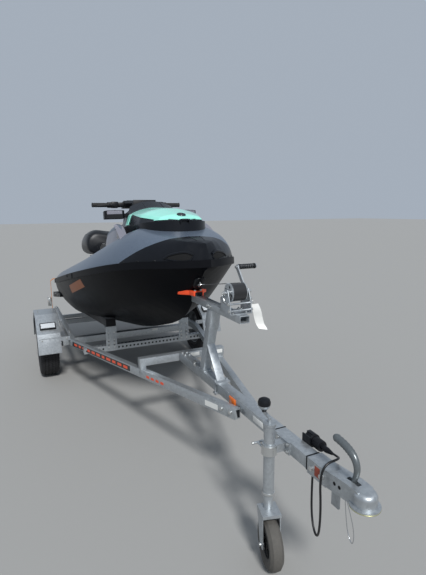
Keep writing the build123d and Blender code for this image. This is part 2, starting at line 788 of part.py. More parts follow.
def nozzle_sleeve(x0, x1, big, small):
    """A sleeve that narrows towards the stern."""
    return Pos(x1, 0, PUMP_Z) * Rot(0, -90, 0) * Cone(big, small, x1 - x0, align=(Align.CENTER, Align.CENTER, Align.MIN))


def steering_nozzle():
    """The nozzle that swings behind the venturi on two upright pins."""
    shape = nozzle_sleeve(60, 185, 82, 54) - nozzle_sleeve(59, 186, 76, 48)
    for sign in (-1, 1):
        pin = rod((NOZZLE_PIVOT_X, 0, PUMP_Z + sign * 74), (NOZZLE_PIVOT_X, 0, PUMP_Z + sign * 97), 9)
        shape = shape + pin
    return shape


def nozzle_bracket():
    """The two ears on the venturi that hold the nozzle's pins."""
    pieces = []
    for sign in (-1, 1):
        z0, z1 = sorted((PUMP_Z + sign * 87, PUMP_Z + sign * 98))
        ear = block(NOZZLE_PIVOT_X - 18, 350, -14, 14, z0, z1)
        pieces.append(ear - rod((NOZZLE_PIVOT_X, 0, PUMP_Z - 120), (NOZZLE_PIVOT_X, 0, PUMP_Z + 120), 9 + FIT))
    return pieces


def reverse_bucket():
    """The bucket that drops behind the nozzle, drawn in its raised place."""
    arm = profile_xz([(-14, -14), (14, -14), (14, 14), (-60, 96), (-96, 80), (-14, 14)], 106, 112)
    shape = [Pos(BUCKET_PIVOT_X, 0, PUMP_Z) * piece for piece in sides(arm)]
    hood_plate = profile_xz([(-100, 84), (-20, 112), (-18, 104), (-98, 76)], -112, 112)
    cup = Pos(BUCKET_PIVOT_X, 0, PUMP_Z) * hood_plate
    return shape[0] + shape[1] + cup


def bucket_pins():
    """The pins in the tunnel's side walls that carry the bucket."""
    return sides(rod((BUCKET_PIVOT_X, 104, PUMP_Z), (BUCKET_PIVOT_X, TUNNEL_HALF, PUMP_Z), 8))


def engine():
    """The engine as one plain block on the hull's floor."""
    rear, front, half, floor, top = ENGINE
    return block(rear, front, -half, half, floor, top)


def rail_axis(side):
    """The three corners of a side rail's middle line, from the rear to the drawbar."""
    z = RAIL_TOP - RAIL_H / 2
    end_y = BEAM_W / 2 + RAIL_W / 2 / cos(RAIL_TOE)
    return [
        (RAIL_REAR_X, side * RAIL_Y, z),
        (RAIL_BEND_X, side * RAIL_Y, z),
        (RAIL_FRONT_X, side * end_y, RAIL_FRONT_TOP - RAIL_H / 2),
    ]


RAIL_TOE = atan2(RAIL_Y - BEAM_W / 2 - RAIL_W / 2, RAIL_FRONT_X - RAIL_BEND_X)


def rail_y(x):
    """The rail's middle line: its distance from the middle plane at x."""
    if x <= RAIL_BEND_X:
        return RAIL_Y
    start, end = rail_axis(1)[1:]
    return start[1] + (end[1] - start[1]) * (x - start[0]) / (end[0] - start[0])


def rail_top(x):
    """The height of the rail's top face at x."""
    if x <= RAIL_BEND_X:
        return RAIL_TOP
    return RAIL_TOP + (RAIL_FRONT_TOP - RAIL_TOP) * (x - RAIL_BEND_X) / (RAIL_FRONT_X - RAIL_BEND_X)


def side_rails():
    """The two side rails: level beside the wheels, then in and up to the drawbar."""
    pieces = []
    for side in (-1, 1):
        rear, bend, front = rail_axis(side)
        outer = bar(rear, (bend[0] + 4, bend[1], bend[2]), RAIL_W, RAIL_H)
        slant = bar(bend, front, RAIL_W, RAIL_H, side=(0, 1, 0))
        shape = outer + slant - block(RAIL_BEND_X, 3000, -BEAM_W / 2, BEAM_W / 2, 0, 2000)
        hollow = bar((rear[0] - 1, *rear[1:]), (rear[0] + 300, *rear[1:]), RAIL_W - 2 * TUBE_WALL, RAIL_H - 2 * TUBE_WALL)
        pieces.append(shape - hollow)
    return pieces


def drawbar():
    """The middle beam from the cross member to the coupling."""
    return block(
        BEAM_REAR_X, BEAM_FRONT_X, -BEAM_W / 2, BEAM_W / 2, BEAM_TOP - BEAM_H, BEAM_TOP
    ) - block(
        BEAM_REAR_X - 1,
        BEAM_REAR_X + 200,
        -BEAM_W / 2 + TUBE_WALL,
        BEAM_W / 2 - TUBE_WALL,
        BEAM_TOP - BEAM_H + TUBE_WALL,
        BEAM_TOP - TUBE_WALL,
    )


def cross_members():
    """The front cross member on its stubs and the rear one that carries the lamps."""
    x1 = BEAM_REAR_X
    x0 = x1 - 50
    middle = (x0 + x1) / 2
    front = block(x0, x1, -rail_y(middle) - 22, rail_y(middle) + 22, BEAM_TOP - BEAM_H, BEAM_TOP - 4)
    stub = block(x0, x1, rail_y(middle) - 20, rail_y(middle) + 20, rail_top(middle) - 30, BEAM_TOP - BEAM_H)
    shape = front
    for piece in sides(stub):
        shape = shape + piece
    for rail in side_rails():
        shape = shape - rail
    x0 = RAIL_REAR_X + 5
    rear = block(x0, x0 + LAMP_BAR, -860, 860, LAMP_BAR_Z, LAMP_BAR_Z + LAMP_BAR)
    hanger = block(x0 + 2, x0 + 38, RAIL_Y - 18, RAIL_Y + 18, LAMP_BAR_Z + LAMP_BAR, AXLE_TOP)
    for piece in sides(hanger):
        rear = rear + piece
    return [largest(shape), rear]


AXLE_TOP = RAIL_TOP - RAIL_H
LAMP_BAR = 40.0
LAMP_BAR_Z = 270.0


def axle():
    """The torsion axle: a square tube with a trailing arm and a stub axle at each end."""
    z0 = AXLE_TOP - AXLE_TUBE
    half = RAIL_Y + 35
    tube = block(AXLE_X - AXLE_TUBE / 2, AXLE_X + AXLE_TUBE / 2, -half, half, z0, AXLE_TOP)
    arm_inner = half
    arm_outer = half + AXLE_ARM
    z = z0 + AXLE_TUBE / 2
    arm = profile_xz(
        [
            (AXLE_X + 34, z - 30),
            (AXLE_X + 34, z + 30),
            (AXLE_X - 20, z + 34),
            (-24, TYRE_RADIUS + 26),
            (-30, TYRE_RADIUS - 20),
            (10, TYRE_RADIUS - 28),
        ],
        arm_inner,
        arm_outer,
    )
    stub = rod((0, arm_outer, TYRE_RADIUS), (0, WHEEL_Y + 42, TYRE_RADIUS), STUB_RADIUS)
    shape = tube
    for piece in [*sides(arm), *sides(stub)]:
        shape = shape + piece
    return shape


def turned(points, y):
    """A wheel-like solid: the outline in radius and y, turned about the wheel's axle."""
    face = make_face(Polyline(*[(0, y + v, r) for r, v in points], close=True))
    return Pos(0, 0, 0) * revolve(face, axis=Axis((0, 0, 0), (0, 1, 0)), revolution_arc=360)


def tyre(side):
    """A road tyre with rounded shoulders."""
    w = TYRE_WIDTH / 2
    outline = [
        (RIM_RADIUS, -w + 16),
        (RIM_RADIUS + 24, -w + 3),
        (TYRE_RADIUS - 52, -w),
        (TYRE_RADIUS - 14, -w + 10),
        (TYRE_RADIUS - 2, -w + 26),
        (TYRE_RADIUS, 0),
        (TYRE_RADIUS - 2, w - 26),
        (TYRE_RADIUS - 14, w - 10),
        (TYRE_RADIUS - 52, w),
        (RIM_RADIUS + 24, w - 3),
        (RIM_RADIUS, w - 16),
    ]
    return Pos(0, side * WHEEL_Y, TYRE_RADIUS) * turned(outline, 0)


def rim(side):
    """A steel rim: the barrel, a dished disc with slots, and the hub on the stub axle."""
    w = TYRE_WIDTH / 2 - 18
    barrel = [
        (RIM_RADIUS, -w),
        (RIM_RADIUS, w),
        (RIM_RADIUS - 6, w),
        (RIM_RADIUS - 8, w - 14),
        (RIM_RADIUS - 24, w - 30),
        (RIM_RADIUS - 24, -w + 30),
        (RIM_RADIUS - 8, -w + 14),
        (RIM_RADIUS - 6, -w),
    ]
    disc = [(RIM_RADIUS - 22, 6), (RIM_RADIUS - 22, 14), (104, 24), (84, 16), (40, 16), (40, 8), (84, 8), (104, 14)]
    hub = [(STUB_RADIUS + FIT, -60), (48, -60), (48, -10), (40, -4), (40, 40), (34, 52), (0, 54), (0, 46), (STUB_RADIUS + FIT, 44)]
    shape = turned(barrel, 0) + turned(disc, 0)
    for k in range(12):
        slot = Rot(0, 30 * k, 0) * (Pos(0, 15, 128) * Rot(90, 0, 0) * Cylinder(11, 60))
        shape = shape - slot
    shape = shape + turned(hub, 0)
    if side < 0:
        shape = mirror(shape, about=Plane.XZ)
    return Pos(0, side * WHEEL_Y, TYRE_RADIUS) * shape


GUARD_TOP = 2 * TYRE_RADIUS + GUARD_GAP
GUARD_LINE = ((-372, 300), (-322, 470), (-120, GUARD_TOP), (120, GUARD_TOP), (322, 470), (372, 300))


def guard_sheet(side):
    """The folded sheet of one mudguard, without its edges."""
    inner = [(x * 0.985, z - GUARD_SHEET) for x, z in reversed(GUARD_LINE)]
    y0, y1 = sorted((side * GUARD_INNER_Y, side * GUARD_OUTER_Y))
    return profile_xz([*GUARD_LINE, *inner], y0, y1)


def mudguards(arms):
    """The folded sheet over each wheel, with a flange down its outer and inner edges."""
    edge = [(x * 0.93, z - 30 if abs(x) < 350 else z) for x, z in reversed(GUARD_LINE)]
    pieces = []
    for side in (-1, 1):
        shape = guard_sheet(side)
        for y in (GUARD_INNER_Y + GUARD_SHEET, GUARD_OUTER_Y):
            y0, y1 = sorted((side * (y - GUARD_SHEET), side * y))
            shape = shape + profile_xz([*GUARD_LINE, *edge], y0, y1)
        for arm in arms:
            shape = shape - arm
        pieces.append(largest(shape))
    return pieces


def mudguard_arms():
    """The flat bars that hold the mudguards to the rails."""
    pieces = []
    for x in (-335, 329):
        flat = block(x, x + 6, RAIL_Y + RAIL_W / 2, GUARD_OUTER_Y - 12, ARM_FLAT_Z, ARM_FLAT_Z + 38)
        pieces.extend(largest(side - guard_sheet(-1) - guard_sheet(1)) for side in sides(flat))
    return pieces


def lamps():
    """The white lamps on the mudguards' front folds and the rear lamp clusters."""
    dx, dz = GUARD_LINE[4][0] - GUARD_LINE[3][0], GUARD_LINE[4][1] - GUARD_LINE[3][1]
    slope = degrees(atan2(-dz, dx))
    x = (GUARD_LINE[3][0] + GUARD_LINE[4][0]) / 2 + 32
    z = GUARD_TOP + (x - GUARD_LINE[3][0]) * dz / dx
    front = Pos(x, (GUARD_INNER_Y + GUARD_OUTER_Y) / 2, z) * Rot(0, slope, 0) * block(-32, 32, -62, 62, 0, 20)
    rear = block(RAIL_REAR_X - 50, RAIL_REAR_X + 5, 690, 850, LAMP_BAR_Z - 20, LAMP_BAR_Z + 90)
    return [*sides(front), *sides(rear)]


def channel(x, z, half):
    """A cross beam with rows of holes in its upright faces and its top."""
    shape = block(x - CHANNEL_W / 2, x + CHANNEL_W / 2, -half, half, z, z + CHANNEL_H)
    shape = shape - block(x - CHANNEL_W / 2 + 4, x + CHANNEL_W / 2 - 4, -half - 1, half + 1, z - 1, z + CHANNEL_H - 4)
    return shape


def bunk_line(x):
    """The height of the bunk's top at x."""
    (x0, z0), (x1, z1) = BUNK_REAR, BUNK_FRONT
    return z0 + (z1 - z0) * (x - x0) / (x1 - x0)


def bunk_supports():
    """Two perforated cross beams, each with two perforated uprights under the bunks."""
    shapes = []
    for x, z, half in ((FRONT_BEAM_X, FRONT_BEAM_Z, None), (REAR_BEAM_X, AXLE_TOP - CHANNEL_H, RAIL_Y + 10)):
        reach = half if half else rail_y(x) + 40
        shape = channel(x, z, reach)
        if half is None:
            for rail in side_rails():
                shape = shape - rail
            shape = largest(shape)
        top = bunk_line(x) - BUNK_T - 2
        for side in (-1, 1):
            y = side * BUNK_Y
            face = x + CHANNEL_W / 2
            plate = block(face, face + 5, y - 45, y + 45, z, top)
            for column in (-24, 24):
                count = int((top - z - 20) // 32)
                for row in range(count):
                    hole = rod((face - 1, y + column, z + 24 + 32 * row), (face + 6, y + column, z + 24 + 32 * row), 8)
                    plate = plate - hole
            shelf = block(face - 50, face + 5, y - 45, y + 45, top - 5, top)
            shape = shape + plate + shelf
        shapes.append(shape)
    return shapes


def bunks(hull_plain_parked, supports):
    """The carpeted bunks, shaped to the hull's bottom."""
    (x0, z0), (x1, z1) = BUNK_REAR, BUNK_FRONT
    pieces = []
    for side in (-1, 1):
        plane0 = (x0, side * BUNK_Y, z0 - BUNK_T / 2)
        plane1 = (x1, side * BUNK_Y, z1 - BUNK_T / 2)
        plank = bar(plane0, plane1, BUNK_W, BUNK_T)
        cut = plank - hull_plain_parked
        for support in supports:
            cut = cut - support
        pieces.append(largest(cut))
    return pieces


def winch_post():
    """The post on the drawbar, its telescoping head, its strut and the clamp."""
    foot = (POST_FOOT_X, 0, BEAM_TOP)
    head = (POST_TOP_X, 0, ARM_Z)
    lower = bar(foot, head, POST_W - 8, POST_W - 8)
    share = 0.72
    joint = tuple(f + (h - f) * share for f, h in zip(foot, head))
    upper = bar(joint, (head[0] + 12, 0, head[2] + 40), POST_W, POST_W)
    slope = (POST_TOP_X - POST_FOOT_X) / (ARM_Z - BEAM_TOP)
    strut_top = (POST_FOOT_X + slope * 190 + 20, 0, BEAM_TOP + 190)
    strut = bar((2150, 0, BEAM_TOP + 2), strut_top, 50, 8)
    plate = block(2120, 2180, -44, 44, BEAM_TOP, BEAM_TOP + 10)
    shoe = block(1885, 1975, -30, 30, BEAM_TOP, BEAM_TOP + 8)
    shape = lower + upper + strut + plate + shoe
    for y in (-37, 37):
        leg = rod((2150, y, BEAM_TOP - BEAM_H - 16), (2150, y, BEAM_TOP + 18), 5)
        shape = shape + leg
    strap = block(2132, 2168, -44, 44, BEAM_TOP - BEAM_H - 8, BEAM_TOP - BEAM_H)
    shape = shape + strap
    shape = shape - block(1800, 2600, -200, 200, ARM_Z, ARM_Z + 400)
    shape = shape - block(1500, 3060, -BEAM_W / 2, BEAM_W / 2, BEAM_TOP - BEAM_H, BEAM_TOP)
    return shape


def winch_arm():
    """The level box arm that carries the bow stop behind and the winch in front."""
    arm = block(ARM_REAR_X, ARM_FRONT_X, -ARM_W / 2, ARM_W / 2, ARM_Z, ARM_Z + ARM_H)
    hollow = block(
        ARM_REAR_X - 1, ARM_REAR_X + 80, -ARM_W / 2 + 4, ARM_W / 2 - 4, ARM_Z + 4, ARM_Z + ARM_H - 4
    )
    open_front = Pos(ARM_FRONT_X - ARM_REAR_X - 79, 0, 0) * hollow
    return arm - hollow - open_front


def bow_stop(hull_plain_parked):
    """The rubber V on the arm's rear end that holds the stem."""
    z0 = ARM_Z + ARM_H
    x0 = ARM_REAR_X
    half = [(x0 + 52, 0), (x0 + 52, 34), (x0, 42), (x0 - 52, 98), (x0 - 80, 98), (x0 - 80, 88), (x0 - 22, 0)]
    wing = profile_xy(half, z0, z0 + 30)
    return largest(wing + mirror(wing, about=Plane.XZ) - hull_plain_parked)


def toothed(count, module, thickness, root_drop=2.4):
    """A spur gear about Y, with straight-flanked teeth thinned for backlash."""
    pitch = count * module / 2
    root = pitch - root_drop
    tip = pitch + module * 0.85
    step = 2 * pi / count
    points = []
    for k in range(count):
        a = k * step
        for radius, share in ((root, -0.24), (tip, -0.10), (tip, 0.10), (root, 0.24)):
            angle = a + share * step
            points.append((radius * cos(angle), 0, radius * sin(angle)))
    face = make_face(Polyline(*points, close=True))
    return Pos(0, -thickness / 2, 0) * Solid.extrude(face.face(), Vector(0, thickness, 0))


GEAR_RADIUS = GEAR_TEETH * GEAR_MODULE / 2
PINION_RADIUS = PINION_TEETH * GEAR_MODULE / 2
PINION_ANGLE = 235.0  # where the pinion sits round the gear, degrees from +X towards +Z
PINION_X = DRUM_X + (GEAR_RADIUS + PINION_RADIUS) * cos(radians(PINION_ANGLE))
PINION_Z = DRUM_Z + (GEAR_RADIUS + PINION_RADIUS) * sin(radians(PINION_ANGLE))


def pinion_phase():
    """The angle of a pinion tooth that falls midway between two teeth of the gear."""
    offset = -radians(PINION_ANGLE % (360.0 / GEAR_TEETH)) * GEAR_RADIUS
    along = offset + pi * GEAR_MODULE / 2
    return PINION_ANGLE + 180.0 - degrees(along / PINION_RADIUS)


def winch_frame():
    """The winch's two side plates, base and cross rods."""
    z0 = ARM_Z + ARM_H
    outline = [
        (DRUM_X - 66, z0),
        (DRUM_X - 66, PINION_Z + 14),
        (DRUM_X - 30, DRUM_Z - 12),
        (DRUM_X - 16, DRUM_Z + 17),
        (DRUM_X + 16, DRUM_Z + 17),
        (DRUM_X + 42, DRUM_Z - 50),
        (DRUM_X + 50, z0),
    ]
    shape = block(DRUM_X - 66, DRUM_X + 50, -PLATE_OUT_Y, PLATE_OUT_Y, z0, z0 + PLATE_T)
    for y in (-PLATE_OUT_Y, PLATE_OUT_Y - PLATE_T):
        shape = shape + profile_xz(outline, y, y + PLATE_T)
    for x, z in ((DRUM_X + 40, z0 + 20), (DRUM_X + 34, DRUM_Z - 54)):
        shape = shape + rod((x, -PLATE_OUT_Y + 1, z), (x, PLATE_OUT_Y - 1, z), 5)
    shape = shape - rod((DRUM_X, -100, DRUM_Z), (DRUM_X, 100, DRUM_Z), 8 + FIT)
    return shape - rod((PINION_X, -100, PINION_Z), (PINION_X, 100, PINION_Z), 7 + FIT)


def winch_drum():
    """The drum with its gear, far flange, shaft and the wound strap."""
    gear = Pos(DRUM_X, GEAR_Y, DRUM_Z) * toothed(GEAR_TEETH, GEAR_MODULE, GEAR_T)
    for k in range(4):
        window = Rot(0, 90 * k + 20, 0) * (Pos(30, 0, 0) * Rot(90, 0, 0) * Cylinder(9, 60))
        gear = gear - Pos(DRUM_X, GEAR_Y, DRUM_Z) * window
    roll = rod((DRUM_X, GEAR_Y + 3, DRUM_Z), (DRUM_X, 34, DRUM_Z), ROLL_RADIUS)
    flange = rod((DRUM_X, 34, DRUM_Z), (DRUM_X, 38, DRUM_Z), 48)
    shaft = rod((DRUM_X, -PLATE_OUT_Y - 8, DRUM_Z), (DRUM_X, PLATE_OUT_Y + 8, DRUM_Z), 8)
    return gear + roll + flange + shaft


def winch_crank():
    """The pinion shaft with its crank arm and grip."""
    length = hypot(*CRANK_AIM)
    end_x = PINION_X + CRANK_AIM[0] / length * CRANK_LENGTH
    end_z = PINION_Z + CRANK_AIM[1] / length * CRANK_LENGTH
    y = PLATE_OUT_Y + 26
    shaft = rod((PINION_X, -PLATE_OUT_Y - 6, PINION_Z), (PINION_X, y + 6, PINION_Z), 7)
    pinion = Pos(PINION_X, GEAR_Y, PINION_Z) * Rot(0, -pinion_phase(), 0) * toothed(
        PINION_TEETH, GEAR_MODULE, GEAR_T + 3
    )
    arm = bar((PINION_X, y, PINION_Z), (end_x, y, end_z), 7, 24)
    grip = rod((end_x, y, end_z), (end_x, y + 118, end_z), 13)
    boss = rod((PINION_X, y - 8, PINION_Z), (PINION_X, y + 8, PINION_Z), 15)
    return shaft + pinion + arm + grip + boss


def winch_strap():
    """The strap pulled from the top of the wound roll to the bow eye."""
    start = strap_anchor()
    lean = atan2(DRUM_Z + ROLL_RADIUS - start[2], DRUM_X - start[0])
    offset = ROLL_RADIUS + 1.5 + SEAT_GAP
    end = (DRUM_X - offset * sin(lean), 0, DRUM_Z + offset * cos(lean))
    return bar(start, end, 46, 3)


def strap_anchor():
    """The middle of the bow eye's outer bar, in the parked frame."""
    reach = EYE_OUT - EYE_ROD
    x = EYE_X + reach * cos(radians(42))
    z = EYE_Z - reach * sin(radians(42))
    c, s = cos(radians(CRAFT_PITCH)), sin(radians(CRAFT_PITCH))
    return (CRAFT_X + x * c - z * s + EYE_ROD + 6, 0, CRAFT_Z + x * s + z * c)


def coupling_body():
    """The ball coupling: a pressed body that narrows into the domed head."""
    sleeve = block(BEAM_FRONT_X - 70, BEAM_FRONT_X + 40, -36, 36, BEAM_TOP - BEAM_H - 5, BEAM_TOP + 5)
    sleeve = sleeve - block(BEAM_REAR_X, BEAM_FRONT_X, -BEAM_W / 2, BEAM_W / 2, BEAM_TOP - BEAM_H, BEAM_TOP)
    neck = profile_xz(
        [
            (BEAM_FRONT_X, BEAM_TOP - BEAM_H - 5),
            (BEAM_FRONT_X, BEAM_TOP + 5),
            (SOCKET_X - 50, COUPLING_Z + 36),
            (SOCKET_X, COUPLING_Z + 34),
            (SOCKET_X, COUPLING_Z - 24),
        ],
        -36,
        36,
    )
    head = Pos(SOCKET_X, 0, COUPLING_Z - 24) * Cylinder(
        HEAD_R, 58, align=(Align.CENTER, Align.CENTER, Align.MIN)
    )
    head = fillet(head.edges().sort_by(Axis.Z)[-1], 20)
    lip = Pos(SOCKET_X, 0, COUPLING_Z - 24) * Cylinder(
        HEAD_R + 12, 7, align=(Align.CENTER, Align.CENTER, Align.MIN)
    )
    blade = block(3100, 3140, -4, 4, 425, 512)
    shape = sleeve + neck + head + lip + blade
    socket = Pos(SOCKET_X, 0, COUPLING_Z - 30) * Cylinder(
        SOCKET_R, 32, align=(Align.CENTER, Align.CENTER, Align.MIN)
    ) + Pos(SOCKET_X, 0, COUPLING_Z + 2) * Sphere(SOCKET_R)
    slot = block(3176, 3236, -9, 9, COUPLING_Z + 8, COUPLING_Z + 60)
    shape = shape - socket - slot
    pin = rod((LEVER_X, -20, LEVER_Z), (LEVER_X, 20, LEVER_Z), 5)
    return shape + pin


LEVER_X = 3200.0
LEVER_Z = COUPLING_Z + 22.0


def coupling_lever():
    """The locking handle that rises from the coupling and bends back."""
    points = [(LEVER_X, 0, LEVER_Z), (LEVER_X + 26, 0, 655), (3165, 0, 690), (3105, 0, 702)]
    lower = bar(points[0], points[1], 14, 26)
    middle = bar(points[1], points[2], 18, 24)
    grip = bar(points[2], points[3], 26, 26)
    knee = rod((points[1][0], -9, points[1][2]), (points[1][0], 9, points[1][2]), 13)
    knee2 = rod((points[2][0], -11, points[2][2]), (points[2][0], 11, points[2][2]), 13)
    eye = rod((LEVER_X, -7, LEVER_Z), (LEVER_X, 7, LEVER_Z), 11)
    shape = lower + middle + grip + knee + knee2 + eye
    return shape - rod((LEVER_X, -30, LEVER_Z), (LEVER_X, 30, LEVER_Z), 5 + FIT)


def jockey_place(shape):
    """The shape moved from the jockey tube's own axis to its place by the drawbar."""
    return Pos(JOCKEY_X, JOCKEY_Y, 0) * shape


def upright(radius, z0, z1):
    """A round bar along Z."""
    return Pos(0, 0, z0) * Cylinder(radius, z1 - z0, align=(Align.CENTER, Align.CENTER, Align.MIN))


def jockey_clamp():
    """The bracket on the drawbar and the outer tube that it grips."""
    inner = JOCKEY_INNER_R + FIT
    tube = upright(JOCKEY_OUTER_R, JOCKEY_FOOT, JOCKEY_TOP)
    collar = upright(JOCKEY_OUTER_R + 6, BEAM_TOP - 50, BEAM_TOP - 4) + upright(JOCKEY_OUTER_R + 4, JOCKEY_TOP - 12, JOCKEY_TOP)
    reach = -BEAM_W / 2 - JOCKEY_Y
    plate = block(-48, 48, reach - 8, reach, BEAM_TOP - BEAM_H, BEAM_TOP)
    webs = block(-22, 22, 0, reach, BEAM_TOP - 46, BEAM_TOP - 10)
    screw = rod((-60, -20, BEAM_TOP - 28), (0, -20, BEAM_TOP - 28), 5) + rod(
        (-62, -44, BEAM_TOP - 28), (-62, 4, BEAM_TOP - 28), 5
    )
    shape = tube + collar + plate + webs + screw
    shape = shape - upright(inner, JOCKEY_FOOT - 1, JOCKEY_TOP - 10)
    crank = upright(7, JOCKEY_TOP - 10, JOCKEY_TOP + 22) + bar((0, 0, JOCKEY_TOP + 22), (-44, 0, JOCKEY_TOP + 30), 14, 8)
    crank = crank + rod((-44, 0, JOCKEY_TOP + 28), (-44, 0, JOCKEY_TOP + 48), 6)
    knob = Pos(-44, 0, JOCKEY_TOP + 66) * Sphere(27)
    return jockey_place(shape + crank + knob)


JOCKEY_REACH = 42.0  # how far the inner tube slides up into the outer one
CROWN_Z = 2 * JOCKEY_WHEEL_R + 20.0


def jockey_tube():
    """The inner tube that slides in the outer one."""
    tube = upright(JOCKEY_INNER_R, CROWN_Z + 14, JOCKEY_TOP - 10 - JOCKEY_REACH - 4)
    return jockey_place(tube - upright(9 + FIT, CROWN_Z, CROWN_Z + 40))


def jockey_fork():
    """The castor fork with its pivot pin and the wheel's axle."""
    pivot = upright(9, CROWN_Z, CROWN_Z + 34)
    crown = block(-30, 60, -JOCKEY_WHEEL_W / 2 - 12, JOCKEY_WHEEL_W / 2 + 12, CROWN_Z, CROWN_Z + 13.7)
    half = JOCKEY_WHEEL_W / 2 + 7
    leg = profile_xz(
        [
            (-26, CROWN_Z + 6),
            (50, CROWN_Z + 6),
            (JOCKEY_TRAIL + 18, JOCKEY_WHEEL_R - 14),
            (JOCKEY_TRAIL - 16, JOCKEY_WHEEL_R - 14),
        ],
        half,
        half + 5,
    )
    shape = pivot + crown
    for piece in sides(leg):
        shape = shape + piece
    shape = shape + rod((JOCKEY_TRAIL, -half - 8, JOCKEY_WHEEL_R), (JOCKEY_TRAIL, half + 8, JOCKEY_WHEEL_R), 8)
    return jockey_place(Rot(0, 0, JOCKEY_YAW) * shape)


def jockey_wheel():
    """The jockey wheel: rim, web and tyre in one turned shape."""
    w = JOCKEY_WHEEL_W / 2
    r = JOCKEY_WHEEL_R
    outline = [
        (8 + FIT, -w),
        (20, -w),
        (20, -7),
        (56, -7),
        (58, -w + 8),
        (72, -w + 1),
        (r - 16, -w),
        (r - 3, -w + 12),
        (r, 0),
        (r - 3, w - 12),
        (r - 16, w),
        (72, w - 1),
        (58, w - 8),
        (56, 7),
        (20, 7),
        (20, w),
        (8 + FIT, w),
    ]
    wheel = Pos(JOCKEY_TRAIL, 0, r) * turned(outline, 0)
    return jockey_place(Rot(0, 0, JOCKEY_YAW) * wheel)


PLUG_Y = BEAM_W / 2 + 32.0
PLUG_Z = BEAM_TOP + 8.0


def plug():
    """The connector parked in its holder on the drawbar's side."""
    plate = block(2868, 2920, BEAM_W / 2, BEAM_W / 2 + 5, BEAM_TOP - 44, PLUG_Z + 26)
    holder = plate + rod((2872, PLUG_Y, PLUG_Z), (2912, PLUG_Y, PLUG_Z), 27)
    body = rod((2912, PLUG_Y, PLUG_Z), (2962, PLUG_Y, PLUG_Z), 22) + rod((2962, PLUG_Y, PLUG_Z), (2990, PLUG_Y, PLUG_Z), 12)
    return holder + body


CABLE = [
    (2990, PLUG_Y, PLUG_Z),
    (3050, PLUG_Y, PLUG_Z + 6),
    (3092, 36, BEAM_TOP + 34),
    (3094, -34, BEAM_TOP + 34),
    (3094, -58, BEAM_TOP - 20),
    (3102, -54, 420),
    (3088, -46, 290),
    (3050, -34, 262),
    (3006, -18, 310),
    (2984, -4, 420),
    (2983, 0, BEAM_TOP - BEAM_H),
]
CABLE_RADIUS = 4.5
WIRE = [(3150, 14, 514), (3156, 16, 430), (3176, 14, 340), (3212, 6, 322), (3226, -4, 390), (3206, -12, 470), (3180, -14, 520)]
WIRE_RADIUS = 1.6


def cable():
    """The lamp cable from the plug, over the coupling and down in a loop."""
    return largest(sweep_tube(CABLE, CABLE_RADIUS, 18) - drawbar() - plug())


def safety_cable():
    """The thin steel cable that hangs in a loop under the coupling."""
    return largest(sweep_tube(WIRE, WIRE_RADIUS, 18) - coupling_body())


STRAP_X = -1010.0
STRAP_W = 50.0
STRAP_T = 3.0
STRAP_OUT = RAIL_Y + RAIL_W / 2 + 26.0  # inner face of the strap beside the rail


def platform_height(x):
    """The height of the stern platform at x, in the parked frame."""
    pitch = radians(CRAFT_PITCH)
    along = (x - CRAFT_X + PLATFORM_Z * sin(pitch)) / cos(pitch)
    return CRAFT_Z + along * sin(pitch) + PLATFORM_Z * cos(pitch)


def tie_strap():
    """The tie-down strap over the stern platform, down and under both side rails."""
    low = RAIL_TOP - RAIL_H
    top = platform_height(STRAP_X) + SEAT_GAP
    edge = RAIL_Y + RAIL_W / 2 - 6.0
    outer = [(RAIL_Y - 20, low - STRAP_T), (STRAP_OUT + STRAP_T, low - STRAP_T)]
    outer += [(STRAP_OUT + STRAP_T, top - 20), (edge + 3, top + STRAP_T)]
    inner = [(RAIL_Y - 20, low), (STRAP_OUT, low), (STRAP_OUT, top - 21), (edge, top), (edge - 10, top)]
    leg = profile_yz([*outer, (edge - 10, top + STRAP_T), *reversed(inner)], STRAP_X - STRAP_W / 2, STRAP_X + STRAP_W / 2)
    x = (STRAP_X - CRAFT_X + PLATFORM_Z * sin(radians(CRAFT_PITCH))) / cos(radians(CRAFT_PITCH))
    z = PLATFORM_Z + SEAT_GAP
    shape = parked(block(x - STRAP_W / 2, x + STRAP_W / 2, -edge, edge, z, z + STRAP_T))
    for piece in sides(leg):
        shape = shape + piece
    return shape


def profile_yz(points, x0, x1):
    """A prism whose outline is in y and z, between two x values."""
    outline = make_face(Polyline(*[(0, y, z) for y, z in points], close=True))
    return Pos(x0, 0, 0) * Solid.extrude(outline.face(), Vector(x1 - x0, 0, 0))


def ratchets():
    """The ratchet buckle on each side of the tie-down strap."""
    y = STRAP_OUT + STRAP_T + SEAT_GAP
    shape = block(STRAP_X - 34, STRAP_X + 34, y, y + 34, 455, 545)
    shape = shape - block(STRAP_X - 27, STRAP_X + 27, y + 8, y + 40, 470, 530)
    return sides(shape)


